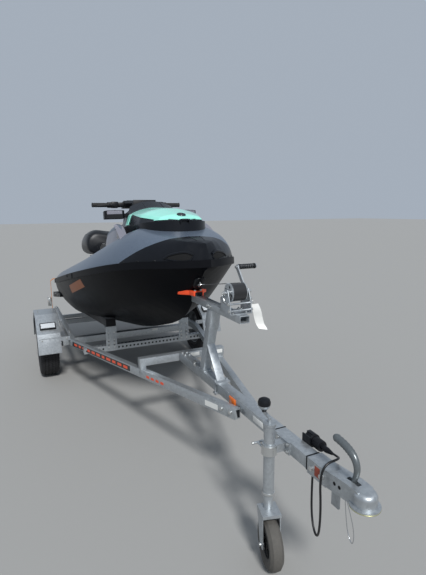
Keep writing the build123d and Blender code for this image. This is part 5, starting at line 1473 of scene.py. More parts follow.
@dataclass
class Console:
    """What lies on the hood, the mirrors, the knee panels, the handlebar and the tower."""

    frame: dict
    bar_z: float = 1100.0
    bar_x: float = 1925.0
    nose_x: float = 3020.0
    nose_low: float = 888.0
    knee_tops: Points = (
        (2167, 832), (2186, 856), (2230, 874), (2290, 889), (2400, 902), (2500, 902), (2570, 888),
        (2640, 856), (2710, 808), (2780, 745),
    )

    def _nose(self) -> Object:
        """The mint panel's turned-down nose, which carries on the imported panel's slopes.

        Returns:
            The finished piece.
        """
        cap = Sketch(CRAFT)
        rings = []
        stations = [(x, 0, 5.2) for x in (2977, 2996, 3010)]
        for x, inset, grow in (*stations, (self.nose_x - 1, 0, 5.0), (self.nose_x + 3, 5, 1.5)):
            share = (min(x, self.nose_x - 2) - 2948) / (self.nose_x - 2950)
            half = 134 - 108 * share + grow - inset
            side = 908 - 14 * share
            rise = 20 - 15 * share + grow
            spots = [(x, half * k / 6, side + rise * (1 - (k / 6) ** 2)) for k in range(-6, 7)]
            rings.append([(x, -half, self.nose_low), *spots, (x, half, self.nose_low)])
        cap.loft(rings)
        return cap.piece("hood_panel_nose", MINT, "hood", "mint", 40)

    def _badge(self, nose: Object) -> None:
        """The round plain badge on the hood's nose, the hood's ribs and the mint panel's folds.

        Args:
            nose: the mint panel's nose.
        """
        packed = (self.frame["nodes"][name] for name in ("hood", "hood_panel"))
        skin = Surface([nose, *packed], CRAFT)
        found = skin.hit((2966, 0, 1400), (0, 0, -1))
        place = frame_at(found[0], found[1], AHEAD)
        rim = Sketch(CRAFT)
        rim.turn([(22, 3.0), (24, 5.0), (28, 5.0), (30, 2.5), (30, -3)], place, 36)
        rim.piece("badge_rim", HOOD, "hood", "hood_dark")
        middle = Sketch(CRAFT)
        middle.turn([(0, 4.2), (14, 3.8), (22.5, 2.6), (22.5, -1)], place, 36)
        middle.piece("badge_middle", HOOD, "hood", "hood_dark")
        lines, folds = Sketch(CRAFT), Sketch(CRAFT)
        for side in (-1, 1):
            rib = mirrored([(2200, 60), (2420, 74), (2436, 84)], side)
            lines.seam(skin, rib, CRAFT_DOWN, 7, 3.0, 12)
            fold = mirrored([(2470, 70), (2700, 60), (2900, 40)], side)
            folds.seam(skin, fold, CRAFT_DOWN, 6, 1.6, 12)
        lines.seam(skin, [(2437, -200), (2437, 200)], CRAFT_DOWN, 8, 2.6, 10)
        lines.piece("hood_lines", HOOD, "hood", "hood_dark")
        folds.piece("hood_panel_folds", MINT, "hood", "mint")

    def _mirrors(self) -> None:
        """Silver caps over both mirrors and the glass behind."""
        skin = Surface([self.frame["nodes"]["mirrors"]], CRAFT)
        caps, glass = Sketch(CRAFT), Sketch(CRAFT)
        for side in (-1, 1):
            corners = mirrored([(2284, 236), (2258, 358), (2346, 366), (2378, 244)], side)
            caps.cling(skin, rounded(corners, 18), CRAFT_DOWN, 12, 4.0, 5.0)
            front = frame_at((2372, side * 303, 983), (0.96, side * 0.27, 0.0))
            caps.cling(skin, box_outline(13, 56, 6, 13), front, 10, 3.0, 3.0)
            rear = frame_at((2260, side * 293, 983), (-0.98, -side * 0.2, 0.0))
            glass.cling(skin, box_outline(21, 58, 12), rear, 12, 1.2, 3.0)
        caps.piece("mirror_caps", SILVER, "hood", "trim_black")
        glass.piece("mirror_glass", MIRROR, "hood", "trim_black")

    def _knees(self) -> None:
        """Rounded panels beside the hood's base, and the blue-grey strip along their outer edge."""
        packed = Surface([self.frame["nodes"]["knee_panels"]], CRAFT)
        panels = Sketch(CRAFT)
        for side in (-1, 1):
            rings = []
            inner = 240.0
            for x, top in self.knee_tops:
                found = packed.hit((x, 0, min(top - 24, 790)), (0, side, 0))
                inner = abs(found[0].y) + 0.5 if found else inner
                outer = 354 - 20 * (top - 680) / 240
                shape = [
                    (inner, 690), (inner, top - 14), (inner + 5, top - 4), (inner + 18, top),
                    (outer - 40, top - 5), (outer - 20, top - 13), (outer - 7, top - 28),
                    (outer - 1, top - 52), (354, 690),
                ]
                rings.append([(x, side * y, z) for y, z in shape])
            panels.loft(rings)
        shells = panels.piece("knee_panel_shells", SILVER, ROOT, "deck_grey", 38)
        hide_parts("knee_panels")
        skin = Surface([shells], CRAFT)
        strips = Sketch(CRAFT)
        outline = [(2186, 300), (2540, 300), (2640, 322), (2560, 331), (2190, 334)]
        for side in (-1, 1):
            strips.cling(skin, mirrored(outline, side), CRAFT_DOWN, 16, 2.5, 3.0)
        strips.piece("knee_panel_strips", DECK_PAINT, ROOT, "deck_grey")

    def _bar(self) -> None:
        """Ribs on the grips, switch pods with buttons, levers with shrouds, and the pad's cover."""
        ribs, pods, buttons = Sketch(CRAFT), Sketch(CRAFT), Sketch(CRAFT)
        x, z = self.bar_x, self.bar_z
        for side in (-1, 1):
            place = frame_at((x, side * 262, z), (0, side, 0))
            profile = [(17.0, -1)]
            for k in range(13):
                rib = k * 9
                profile += [(18.6, 4 + rib), (18.6, 9 + rib), (17.0, 9.6 + rib), (17.0, 12.6 + rib)]
            profile += [(20, 122), (21, 124), (14, 127), (0, 127)]
            ribs.turn(profile, place, 28)
            low, high = sorted((side * 168, side * 232))
            pods.slab((x - 24, low, z - 25), (x + 24, high, z + 27), 9)
            low, high = sorted((side * 100, side * 172))
            pods.slab((x - 19, low, z - 19), (x + 21, high, z + 21), 7)
            lever = [(22, 214), (50, 226), (66, 250), (70, 300), (64, 350), (58, 366)]
            spots = smooth_line([(x + u, side * v, z - 8 - v / 60) for u, v in lever], 4)
            pods.tube(spots, 6.5, 12, 0.7)
            top = frame_at((x - 4, side * 202, z + 24), UP)
            back = frame_at((x - 20, side * 202, z + 4), (-1, 0, 0))
            for spot in (top, back):
                buttons.turn([(0, 5), (6.5, 4.6), (8, 3), (8, -1)], spot, 20)
        ribs.piece("grip_ribs", GRIP, "handlebar", "grip_rubber")
        pods.piece("switch_pods", TRIM, "handlebar", "trim_black")
        buttons.piece("switch_buttons", RED_LENS, "handlebar", "trim_black")
        skin = Surface([self.frame["nodes"]["handlebar_pad"]], CRAFT)
        cover = Sketch(CRAFT)
        cover.cling(skin, box_outline(34, 104, 14, x + 2), CRAFT_DOWN, 12, 3.5, 5.0)
        cover.piece("pad_cover", HOOD, "handlebar", "trim_black")

    def _display(self) -> None:
        """The dark display in its bezel on the tower's top, and the glovebox's latch."""
        place = frame_at((2119, 0, 1099), (-0.522, 0, 0.853), (0, 1, 0))
        bezel = Sketch(CRAFT)
        bezel.prism(box_outline(88, 30, 12), place @ Matrix.Translation((0, 0, -2)), 7, 2.5)
        bezel.piece("display_bezel", TRIM, ROOT, "trim_black")
        screen = Sketch(CRAFT)
        screen.prism(box_outline(68, 21, 6), place @ Matrix.Translation((0, 0, 2)), 4.4, 0.8)
        screen.piece("display_screen", GLASS, ROOT, "trim_black")
        latch = Sketch(CRAFT)
        spot = frame_at((1841, 0, 868), (-0.859, 0, 0.512), (0, 1, 0))
        latch.prism(box_outline(34, 11, 8), spot, 10, 3)
        latch.turn([(0, 13), (6, 13), (7, 12), (7, 9)], spot, 20)
        latch.piece("glovebox_latch", HOOD, "glovebox_lid", "trim_black")

    def build(self) -> None:
        """Makes everything round the rider's controls."""
        self._badge(self._nose())
        self._mirrors()
        self._knees()
        self._bar()
        self._display()


@dataclass
class DeckTrim:
    """Mats, the blank registration film, the rubber rail's joints, plugs and screws."""

    frame: dict
    mats: Sequence[Points] = (
        ((650, 258), (1890, 258), (1890, 372), (1600, 468), (1000, 492), (650, 486)),
        ((24, 8), (296, 8), (296, 470), (60, 462), (24, 430)),
    )
    mat_thick: float = 7.0
    film_thick: float = 0.9

    def _mats(self) -> None:
        """Grooved foam in both footwells and on the stern platform."""
        skin = Surface([self.frame["nodes"]["deck"]], CRAFT)
        mats = Sketch(CRAFT)
        for side in (-1, 1):
            for outline in self.mats:
                mats.cling(skin, mirrored(outline, side), CRAFT_DOWN, 40, self.mat_thick, 5.0)
        mats.piece("foam_mats", MAT, ROOT, "deck_grey")

    def _patches(self) -> None:
        """The faded registration film on each side of the hull, without letters."""
        skin = Surface([self.frame["nodes"]["hull"]], CRAFT)
        film = Sketch(CRAFT)
        for side in (-1, 1):
            place = frame_at((2090, side * 580, 446), (0, side * 0.93, -0.36), (1, 0, 0.14))
            corners = mirrored([(-205, -34), (200, -34), (206, 34), (-198, 34)], -side)
            film.cling(skin, corners, place, 18, self.film_thick, 0.0, 0.3)
        film.piece("registration_film", PATCH, ROOT, "hull_black")

    def _rail(self) -> None:
        """The joints of the rubber rail."""
        skin = Surface([self.frame["nodes"]["gunwale_rail"]], CRAFT)
        joints = Sketch(CRAFT)
        for side in (-1, 1):
            for x, y in ((1945, 610), (2137, 600), (900, 620)):
                place = frame_at((x, side * y, 540 if x > 1000 else 430), (0, side, 0), AHEAD)
                for u in (-9, 9):
                    joints.seam(skin, [(u, -26), (u, 26)], place, 6, 2.4, 6)
        joints.piece("rail_joints", BUMPER, ROOT, "rail_rubber")

    def _stern(self) -> None:
        """Drain plugs, the pump's bolts and the screws of the ride plate and the fins."""
        plugs, screws = Sketch(CRAFT), Sketch(CRAFT)
        hull = Surface([self.frame["nodes"]["hull"]], CRAFT)
        plug = [(0, 9), (9, 9), (10, 7), (10, 3), (21, 3), (22, 2), (22, -2)]
        for side in (-1, 1):
            found = hull.hit((-300, side * 300, 120), AHEAD)
            if found:
                plugs.turn(plug, frame_at(found[0], found[1]), 24)
        plugs.piece("drain_plugs", TRIM, ROOT, "trim_black")
        plate = Surface([self.frame["nodes"]["ride_plate"]], CRAFT)
        for x in (60, 260, 480):
            for y in (-100, 100):
                found = plate.hit((x, y, -300), UP)
                if found:
                    screws.bolt(found[0], found[1], 10)
        fin = Surface([self.frame["nodes"]["sponsons"]], CRAFT)
        for side in (-1, 1):
            for x in (240, 480, 720, 900):
                found = fin.hit((x, side * 900, 268), (0, -side, 0))
                if found:
                    screw = [(0, 3), (5, 2.6), (7, 1), (7, -1)]
                    screws.turn(screw, frame_at(found[0], found[1]), 16)
        for k in range(8):
            turn = math.pi * (k + 0.5) / 4
            spot = (331, 84 * math.cos(turn), 150 + 84 * math.sin(turn))
            screws.bolt(spot, (-1, 0, 0), 8, False)
        screws.piece("craft_screws", STAINLESS, ROOT, "steel_rod")

    def build(self) -> None:
        """Makes everything on deck, sides and stern."""
        self._mats()
        self._patches()
        self._rail()
        self._stern()


@dataclass
class RailTrim:
    """Films, labels, reflectors, holes and fasteners of the trailer's frame.

    toe and rise are the angles of the slanted rails, in radians, seen from above and from the side.
    """

    frame: dict
    toe: float = 0.2599
    rise: float = 0.0583
    bend_x: float = 400.0
    rail_y: float = 593.0
    rail_half: float = 20.7

    def _face(self, x: float, z: float, side: int) -> Matrix:
        """A frame on the outer face of a slanted side rail, its first axis forward along it.

        Args:
            x: how far forward.
            z: the height.
            side: 1 for port, -1 for starboard.

        Returns:
            The local frame.
        """
        y = self.rail_y - (x - self.bend_x) * math.tan(self.toe) + self.rail_half
        out = (math.sin(self.toe), side * math.cos(self.toe), 0.0)
        along = (math.cos(self.toe), -side * math.sin(self.toe), self.rise)
        return frame_at((x, side * y, z), out, along)

    def _films(self, skin: Surface) -> None:
        """The black band with plain orange blocks on both rails.

        Args:
            skin: the frame's surface.
        """
        band, blocks = Sketch(), Sketch()
        for side in (-1, 1):
            place = self._face(925, 417, side)
            band.cling(skin, box_outline(505, 19), place, 30, 0.6, 0.0, 0.3)
            for k in range(11):
                block = box_outline((30, 22, 34, 26, 30)[k % 5], 10, 3, -440 + k * 88)
                blocks.cling(skin, block, place, 16, 1.1, 0.0, 0.3)
            near = self._face(1720, 460, side)
            for u in (-84, -28, 28, 84):
                blocks.cling(skin, box_outline(17, 8, 2, u), near, 12, 1.0, 0.0, 0.3)
        band.piece("rail_film", BLACK_FILM, ROOT, "galvanised")
        blocks.piece("rail_film_blocks", ORANGE_FILM, ROOT, "galvanised")

    def _labels(self, skin: Surface) -> None:
        """Blank labels on the rails, the drawbar, the cross member and the axle.

        Args:
            skin: the frame's surface.
        """
        labels = Sketch()
        for side in (-1, 1):
            place = self._face(2266, 494, side)
            labels.cling(skin, box_outline(54, 15, 2), place, 14, 0.6, 0.0, 0.3)
        for y, z, half in ((86, 536, 34), (275, 529, 26)):
            labels.slab((1562, y - half, z - 13), (1563, y + half, z + 13), 0.3)
        labels.slab((160, 205, 334), (161, 265, 356), 0.3)
        labels.slab((2560, -31, 520), (2650, -30, 548), 0.3)
        labels.piece("frame_labels", LABEL, ROOT, "galvanised")

    def _reflectors(self) -> None:
        """Amber reflectors on both sides of the drawbar."""
        lenses = Sketch()
        for side in (-1, 1):
            place = frame_at((2348, side * 30, 531), (0, side, 0), AHEAD)
            lenses.prism(box_outline(33, 21, 3), place, 6, 1.5)
        lenses.piece("reflector_lenses", AMBER, ROOT, "lamp")

    def _holes(self) -> None:
        """The rows of punched holes in the front bunk beam's face and top, their insides painted
        shade.
        """
        dark, rims = Sketch(), Sketch()
        for k in range(-16, 17):
            y = k * 33.0
            if abs(abs(y) - 325) < 52:
                continue
            for place in (frame_at((731, y, 396), AHEAD), frame_at((706, y, 420), UP, AHEAD)):
                # Painted shade: a black disc stands for the dark inside of each hole
                dark.turn([(0, 0.25), (8.2, 0.25), (8.2, -0.5)], place, 18)
                rims.turn([(8.2, -0.5), (8.4, 0.5), (9.3, 0.5), (9.8, -0.5)], place, 18)
        dark.piece("beam_hole_shade", MESH, ROOT, "galvanised")
        rims.piece("beam_hole_rims", ZINC, ROOT, "galvanised")

    def _fasteners(self, skin: Surface) -> None:
        """Bolts and nuts where the frame's pieces meet, and the caps of open tubes.

        Args:
            skin: the frame's surface.
        """
        bolts, caps = Sketch(), Sketch()
        for side in (-1, 1):
            for x, z in ((2330, 506), (2400, 510)):
                found = skin.hit((x + 80, side * 400, z), (-0.2, -side, 0))
                if found:
                    bolts.bolt(found[0], found[1], 19)
            for x in (1524, 1548):
                found = skin.hit((x, side * 330, 900), (0, 0, -1))
                if found:
                    bolts.bolt(found[0], found[1], 15, nut=True)
            for x in (108, 152, -1062, -1040):
                bolts.bolt((x, side * self.rail_y, 415), UP, 17, nut=True)
            for x in (-329, 335):
                for y in (640, 845):
                    bolts.bolt((x, side * y, 415), AHEAD, 13)
            for y in (301, 349):
                for z in (404, 436, 468, 532):
                    bolts.bolt((736, side * y, z), AHEAD, 13, z == 404)
            for x in (-20, 20):
                for y in (720, 852):
                    bolts.bolt((x, side * y, 605), UP, 10)
            y = side * self.rail_y
            caps.slab((-1083, y - 17, 362), (-1080, y + 17, 412), 1)
            caps.prism(box_outline(21, 12, 2), frame_at((2440.6, side * 50.6, 506), AHEAD), 0.8)
        for x in (1582, 1632):
            for y in (-16, 16):
                bolts.bolt((x, y, 562), UP, 17)
        bolts.slab((1818, -33, 556), (1850, -30, 590), 1)
        bolts.slab((1818, -33, 586), (1850, -8, 590), 1)
        bolts.bolt((1834, -33, 572), (0, -1, 0), 13)
        bolts.piece("frame_bolts", PLATED, ROOT, "steel_rod")
        caps.piece("tube_caps", TRIM, ROOT, "trim_black")

    def _welds(self) -> None:
        """Weld beads at the rails' bends and beside the drawbar."""
        beads = Sketch()
        for side in (-1, 1):
            low, high = Vector((400, side * 613.5, 360)), Vector((402, side * 613.5, 414))
            spots = [low.lerp(high, k / 12) for k in range(13)]
            beads.tube(spots, [3.2 + 0.9 * (k % 2) for k in range(13)], 8)
            for y in (-30, 30):
                line = [(1564, y * 0.98, 508 + 52 * k / 10) for k in range(11)]
                beads.tube(line, [3.0 + 0.8 * (k % 2) for k in range(11)], 8)
        beads.piece("weld_beads", ZINC, ROOT, "galvanised")

    def build(self) -> None:
        """Makes everything on the frame."""
        names = ("side_rails", "drawbar", "cross_members")
        skin = Surface([self.frame["nodes"][name] for name in names], Ground.TRAILER)
        self._films(skin)
        self._labels(skin)
        self._reflectors()
        self._holes()
        self._fasteners(skin)
        self._welds()


@dataclass
class Wheels:
    """Treaded tyres, wheel bolts, grease caps, valves and the jockey wheel's ribs.

    wall and crown run from the bead to the tread's middle, as radius and offset, and as offset.
    """

    radius: float = 280.0
    wheel_y: float = 785.0
    blocks: int = 66
    groove: float = 6.5
    wall: Points = (
        (172, -66), (176, -69), (188, -77), (200, -80.5), (203, -82), (207, -82), (210, -81),
        (228, -82.4), (246, -80.5), (250, -81.5), (254, -79.5), (262, -76),
    )
    crown: Sequence[float] = (
        -70, -60, -52, -47.5, -46, -40, -38.5, -30, -20.5, -19, -13, -11.5, -5,
    )
    jockey_hub: Point = (2822.0, -106.0, 110.0)
    jockey_trail: float = 40.0
    jockey_yaw: float = math.radians(-15.0)

    def _tread(self, across: float, phase: float) -> float:
        """How far the tread lies below its crown.

        Args:
            across: distance from the tyre's middle.
            phase: share of a block's length round the tyre, slanted by the caller.

        Returns:
            The depth in millimetres.
        """
        out = abs(across)
        if min(abs(out - 16), abs(out - 43)) < 3.6:
            return self.groove
        reach = 0.16 if out > 20 else 0.11
        return self.groove * 0.85 if phase % 1.0 < reach and out < 76 else 0.0

    def _tyre(self, side: int) -> None:
        """A tyre with grooved tread, ribs on the walls and rounded shoulders.

        Args:
            side: 1 for port, -1 for starboard.
        """
        tread = [*self.crown, 0, *[-v for v in reversed(self.crown)]]
        around = self.blocks * 6
        mesh = bmesh.new()
        rings = []
        for k in range(around):
            turn = 2 * math.pi * k / around
            row = list(self.wall)
            for v in tread:
                round_off = 279.6 - 3.2 * (abs(v) / 60) ** 2 - max(abs(v) - 58, 0) ** 1.5 * 0.16
                slant = k / 6 + abs(v) * 0.012 + (0.5 if v > 0 else 0.0)
                row.append((round_off - self._tread(v, slant), v))
            row += [(r, -v) for r, v in reversed(self.wall)]
            sine, cosine = math.sin(turn), math.cos(turn)
            rings.append([mesh.verts.new((r * cosine, v, r * sine)) for r, v in row])
        for k in range(around):
            low, high = rings[k], rings[(k + 1) % around]
            for j in range(len(low) - 1):
                mesh.faces.new((low[j], low[j + 1], high[j + 1], high[j]))
            mesh.faces.new((low[-1], low[0], high[0], high[-1]))
        sketch = Sketch()
        sketch.add(mesh, Matrix.Translation((0, side * self.wheel_y, self.radius)))
        name = "left" if side > 0 else "right"
        tyre = sketch.piece(f"treaded_tyre_{name}", TYRE, f"wheel_{name}", "tyre", 24)
        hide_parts(f"tyre_{name}")

    def _road_wheel(self, side: int) -> None:
        """Bolts, grease cap, valve and rim flanges of a road wheel.

        Args:
            side: 1 for port, -1 for starboard.
        """
        name = "left" if side > 0 else "right"
        fittings = Sketch()
        face = self.wheel_y + 16
        for k in range(4):
            turn = math.radians(45 + 90 * k)
            at = (62 * math.cos(turn), side * face, self.radius + 62 * math.sin(turn))
            place = frame_at(at, (0, side, 0))
            fittings.turn([(15, -1), (12, 5), (9, 6)], place, 18)
            fittings.bolt(Vector(at) + Vector((0, side * 4, 0)), (0, side, 0), 19, False)
        cap = frame_at((0, side * (self.wheel_y + 38), self.radius), (0, side, 0))
        dome = [(41.5, -6), (41.5, 2), (36, 4), (34.6, 12), (31, 17.5), (20, 19.5), (0, 20)]
        fittings.turn(dome, cap, 36)
        fittings.piece(f"wheel_fittings_{name}", PLATED, f"wheel_{name}", "steel_rod")
        valve = Sketch()
        ends = ((face - 8, self.radius + 146), (face + 22, self.radius + 141))
        valve.tube([(0, side * y, z) for y, z in ends], 4.2, 12)
        valve.piece(f"tyre_valve_{name}", TRIM, f"wheel_{name}", "tyre")
        bead = Sketch()
        edge = frame_at((0, side * self.wheel_y, self.radius), (0, side, 0))
        flange = ((165, 62), (171, 66), (175.5, 68), (176.5, 66), (173, 63))
        for v in (-1, 1):
            bead.turn(mirrored(flange, v), edge, 72)
        bead.piece(f"rim_flanges_{name}", RIM, f"wheel_{name}", "rim_steel")

    def _jockey(self) -> None:
        """Hub caps, ribs and nuts of the jockey wheel."""
        sine, cosine = math.sin(self.jockey_yaw), math.cos(self.jockey_yaw)
        along, out = Vector((cosine, sine, 0)), Vector((-sine, cosine, 0))
        hub = Vector(self.jockey_hub) + along * self.jockey_trail
        ribs, nuts = Sketch(), Sketch()
        for side in (-1, 1):
            place = frame_at(hub, out * side, along)
            for k in range(6):
                turn = Matrix.Rotation(math.pi / 3 * k, 4, "Z")
                ribs.slab((20, -2.5, 5), (57, 2.5, 19), 1, place @ turn)
            ribs.turn([(20, 24), (22, 28), (22.5, 31), (12, 31.5)], place, 28)
            ribs.turn([(56, 16), (58.5, 21.5), (61, 23)], place, 40)
            nuts.bolt(hub + out * side * 42, out * side, 15, nut=side > 0)
        ribs.piece("jockey_wheel_ribs", TRIM, "jockey_wheel", "jockey_rubber")
        nuts.piece("jockey_axle_nuts", PLATED, "jockey_fork", "galvanised")

    def build(self) -> None:
        """Makes both road wheels' details and the jockey wheel's."""
        for side in (-1, 1):
            self._tyre(side)
            self._road_wheel(side)
        self._jockey()


@dataclass
class Lamps:
    """Frames and lenses of the front marker lamps and the rear clusters.

    The mudguard slopes down between slope_start and slope_end, each given as x and z.
    """

    slope_start: Point = (120.0, 605.0)
    slope_end: Point = (322.0, 470.0)

    def build(self) -> None:
        """Makes all lamps' details."""
        frames, screws, red, amber, clear = (Sketch() for _ in range(5))
        run, fall = self.slope_end[0] - self.slope_start[0], self.slope_start[1] - self.slope_end[1]
        drop = math.atan2(fall, run)
        out = (math.sin(drop), 0.0, math.cos(drop))
        x = (self.slope_start[0] + self.slope_end[0]) / 2 + 32
        z = self.slope_start[1] - (x - self.slope_start[0]) * fall / run
        for side in (-1, 1):
            place = frame_at((x, side * 786, z), out, (math.cos(drop), 0, -math.sin(drop)))
            for u, v, a, b in ((-32, 0, 4, 66), (32, 0, 4, 66), (0, -63, 34, 4), (0, 63, 34, 4)):
                frames.slab((u - a, v - b, 0), (u + a, v + b, 22), 2, place)
            for v in (-56, 56):
                spot = place @ Matrix.Translation((0, v, 0))
                screws.turn([(0, 22.6), (3.4, 22.2), (4.2, 20), (4.2, 18)], spot, 14)
            clear.prism(box_outline(24, 44, 6), place @ Matrix.Translation((0, 0, 18)), 4.5, 1.5)
            low, high = sorted((side * 688, side * 852))
            frames.slab((-1131, low, 248), (-1073, high, 362), 4)
            split = side * 778
            inner, outer = sorted((side * 695, split)), sorted((split, side * 845))
            red.slab((-1138, inner[0], 256), (-1128, inner[1], 354), 3)
            amber.slab((-1138, outer[0], 310), (-1128, outer[1], 354), 3)
            red.slab((-1138, outer[0], 282), (-1128, outer[1], 309), 3)
            clear.slab((-1138, outer[0], 256), (-1128, outer[1], 281), 3)
            for y in (700, 840):
                spot = frame_at((-1128, side * y, 262), (-1, 0, 0))
                screws.turn([(0, 11), (3.4, 10.6), (4.2, 9)], spot, 14)
        frames.piece("lamp_frames", TRIM, ROOT, "trim_black")
        screws.piece("lamp_screws", PLATED, ROOT, "lamp")
        red.piece("red_lenses", RED_LENS, ROOT, "lamp")
        amber.piece("amber_lenses", AMBER, ROOT, "lamp")
        clear.piece("clear_lenses", LENS, ROOT, "lamp")


@dataclass
class WinchTrim:
    """Fasteners, pawl, grip ribs, strap and tag of the winch, and the bow stop's middle."""

    drum: Point = (2335.0, 0.0, 1118.0)
    pinion: Point = (2300.59, 0.0, 1068.85)
    crank_way: Point = (-127.0, 0.0, 156.0)
    crank_reach: float = 200.0
    tag_line: Points = (
        (34, 84, 1052), (46, 92, 1022), (50, 99, 985), (60, 105, 950), (80, 112, 926),
    )

    def _crank(self) -> None:
        """Ribs on the crank's grip and the nut on its end."""
        length = math.hypot(self.crank_way[0], self.crank_way[2])
        pinion = Vector(self.pinion)
        end = pinion + Vector(self.crank_way) / length * self.crank_reach
        place = frame_at((end.x, 88, end.z), (0, 1, 0))
        profile = [(12.8, 6)]
        for k in range(9):
            near, far = (15.2, 15.2) if k in (0, 8) else (14.2, 14.4)
            profile += [(near, 9 + k * 12), (far, 16 + k * 12), (12.8, 18 + k * 12)]
        profile += [(12, 118), (0, 119)]
        grip = Sketch()
        grip.turn(profile, place, 28)
        grip.piece("crank_grip_ribs", TRIM, "winch_crank", "grip_rubber")
        nuts = Sketch()
        nuts.bolt((pinion.x, 94, pinion.z), (0, 1, 0), 19, nut=True)
        nuts.bolt((end.x, 84.5, end.z), (0, -1, 0), 15)
        nuts.piece("crank_nuts", PLATED, "winch_crank", "galvanised")

    def _frame(self) -> None:
        """Bolts and nuts, the pawl, the wound strap on the drum and the blank tag."""
        x, _, z = self.drum
        parts = Sketch()
        for y in (-62, 62):
            way = (0, 1 if y > 0 else -1, 0)
            for u, v in ((40, -88), (34, -54)):
                parts.bolt((x + u, y, z + v), way, 15)
            for u in (-52, -20, 28):
                parts.bolt((x + u, y * 0.62, 1014), UP, 13, nut=True)
        pawl = [(x - 30, -66, z - 18), (x - 10, -67, z - 46), (x + 14, -66, z - 52)]
        parts.tube(pawl, [5, 6, 4], 10)
        parts.bolt((x - 28, -62, z - 20), (0, -1, 0), 12)
        for u in (-300, -262):
            parts.bolt((x + u, -28, 990), (0, -1, 0), 15)
            parts.bolt((x + u, 28, 990), (0, 1, 0), 15, nut=True)
        parts.piece("winch_fittings", PLATED, ROOT, "galvanised")
        drum = Sketch()
        collar = [(8.6, 0), (15, 0), (16, 3), (16, 8), (8.6, 9)]
        drum.turn(collar, frame_at((x, -49, z), (0, -1, 0)), 24)
        for y in (-70, 70):
            drum.bolt((x, y, z), (0, 1 if y > 0 else -1, 0), 19, False, True)
        drum.piece("drum_nuts", PLATED, "winch_drum", "galvanised")
        roll = Sketch()
        wound = [(24, -42), (42, -42), (44.6, -40.6), (44.6, 32.6), (42, 34), (24, 34)]
        roll.turn(wound, frame_at((x, 0, z), (0, 1, 0)), 48)
        for k in range(7):
            radius = 22 + k * 3.4
            turn = [(radius, -0.8), (radius + 0.6, 0.8), (radius + 1.6, 0.8), (radius + 2.2, -0.8)]
            for y in (-42.4, 33.4):
                roll.turn(turn, frame_at((x, y, z), (0, 1, 0)), 40)
        roll.piece("wound_strap", DARK_WEBBING, "winch_drum", "webbing_dark")
        tag = Sketch()
        leaf = smooth_line([(x + u, y, height) for u, y, height in self.tag_line], 5)
        tag.ribbon(leaf, [Vector((-0.5, -0.85, 0.1))] * len(leaf), 46, 1.2)
        under = [p + Vector((-5, 4, 0)) for p in leaf]
        tag.ribbon(under, [Vector((-0.4, -0.9, -0.1))] * len(leaf), 40, 1.0)
        tag.tube([(x + 34, 60, z - 54), (x + 30, 78, z - 46), (x + 20, 92, z - 62)], 1.6, 8)
        tag.piece("winch_tag", LABEL, ROOT, "galvanised")

    def _stop(self) -> None:
        """The black bracket in the bow stop's opening and its bolts."""
        stop = Sketch()
        stop.slab((1836, -24, 1009), (1846, 24, 1034), 2)
        stop.slab((1800, -14, 1009), (1842, 14, 1016), 2)
        stop.piece("bow_stop_pad", TRIM, ROOT, "trim_black")
        bolts = Sketch()
        for y in (-20, 20):
            bolts.bolt((1828, y, 1040), UP, 13)
        bolts.bolt((1790, 0, 990), (-1, 0, 0), 13)
        bolts.piece("bow_stop_bolts", PLATED, ROOT, "galvanised")

    def build(self) -> None:
        """Makes the winch's details."""
        self._crank()
        self._frame()
        self._stop()


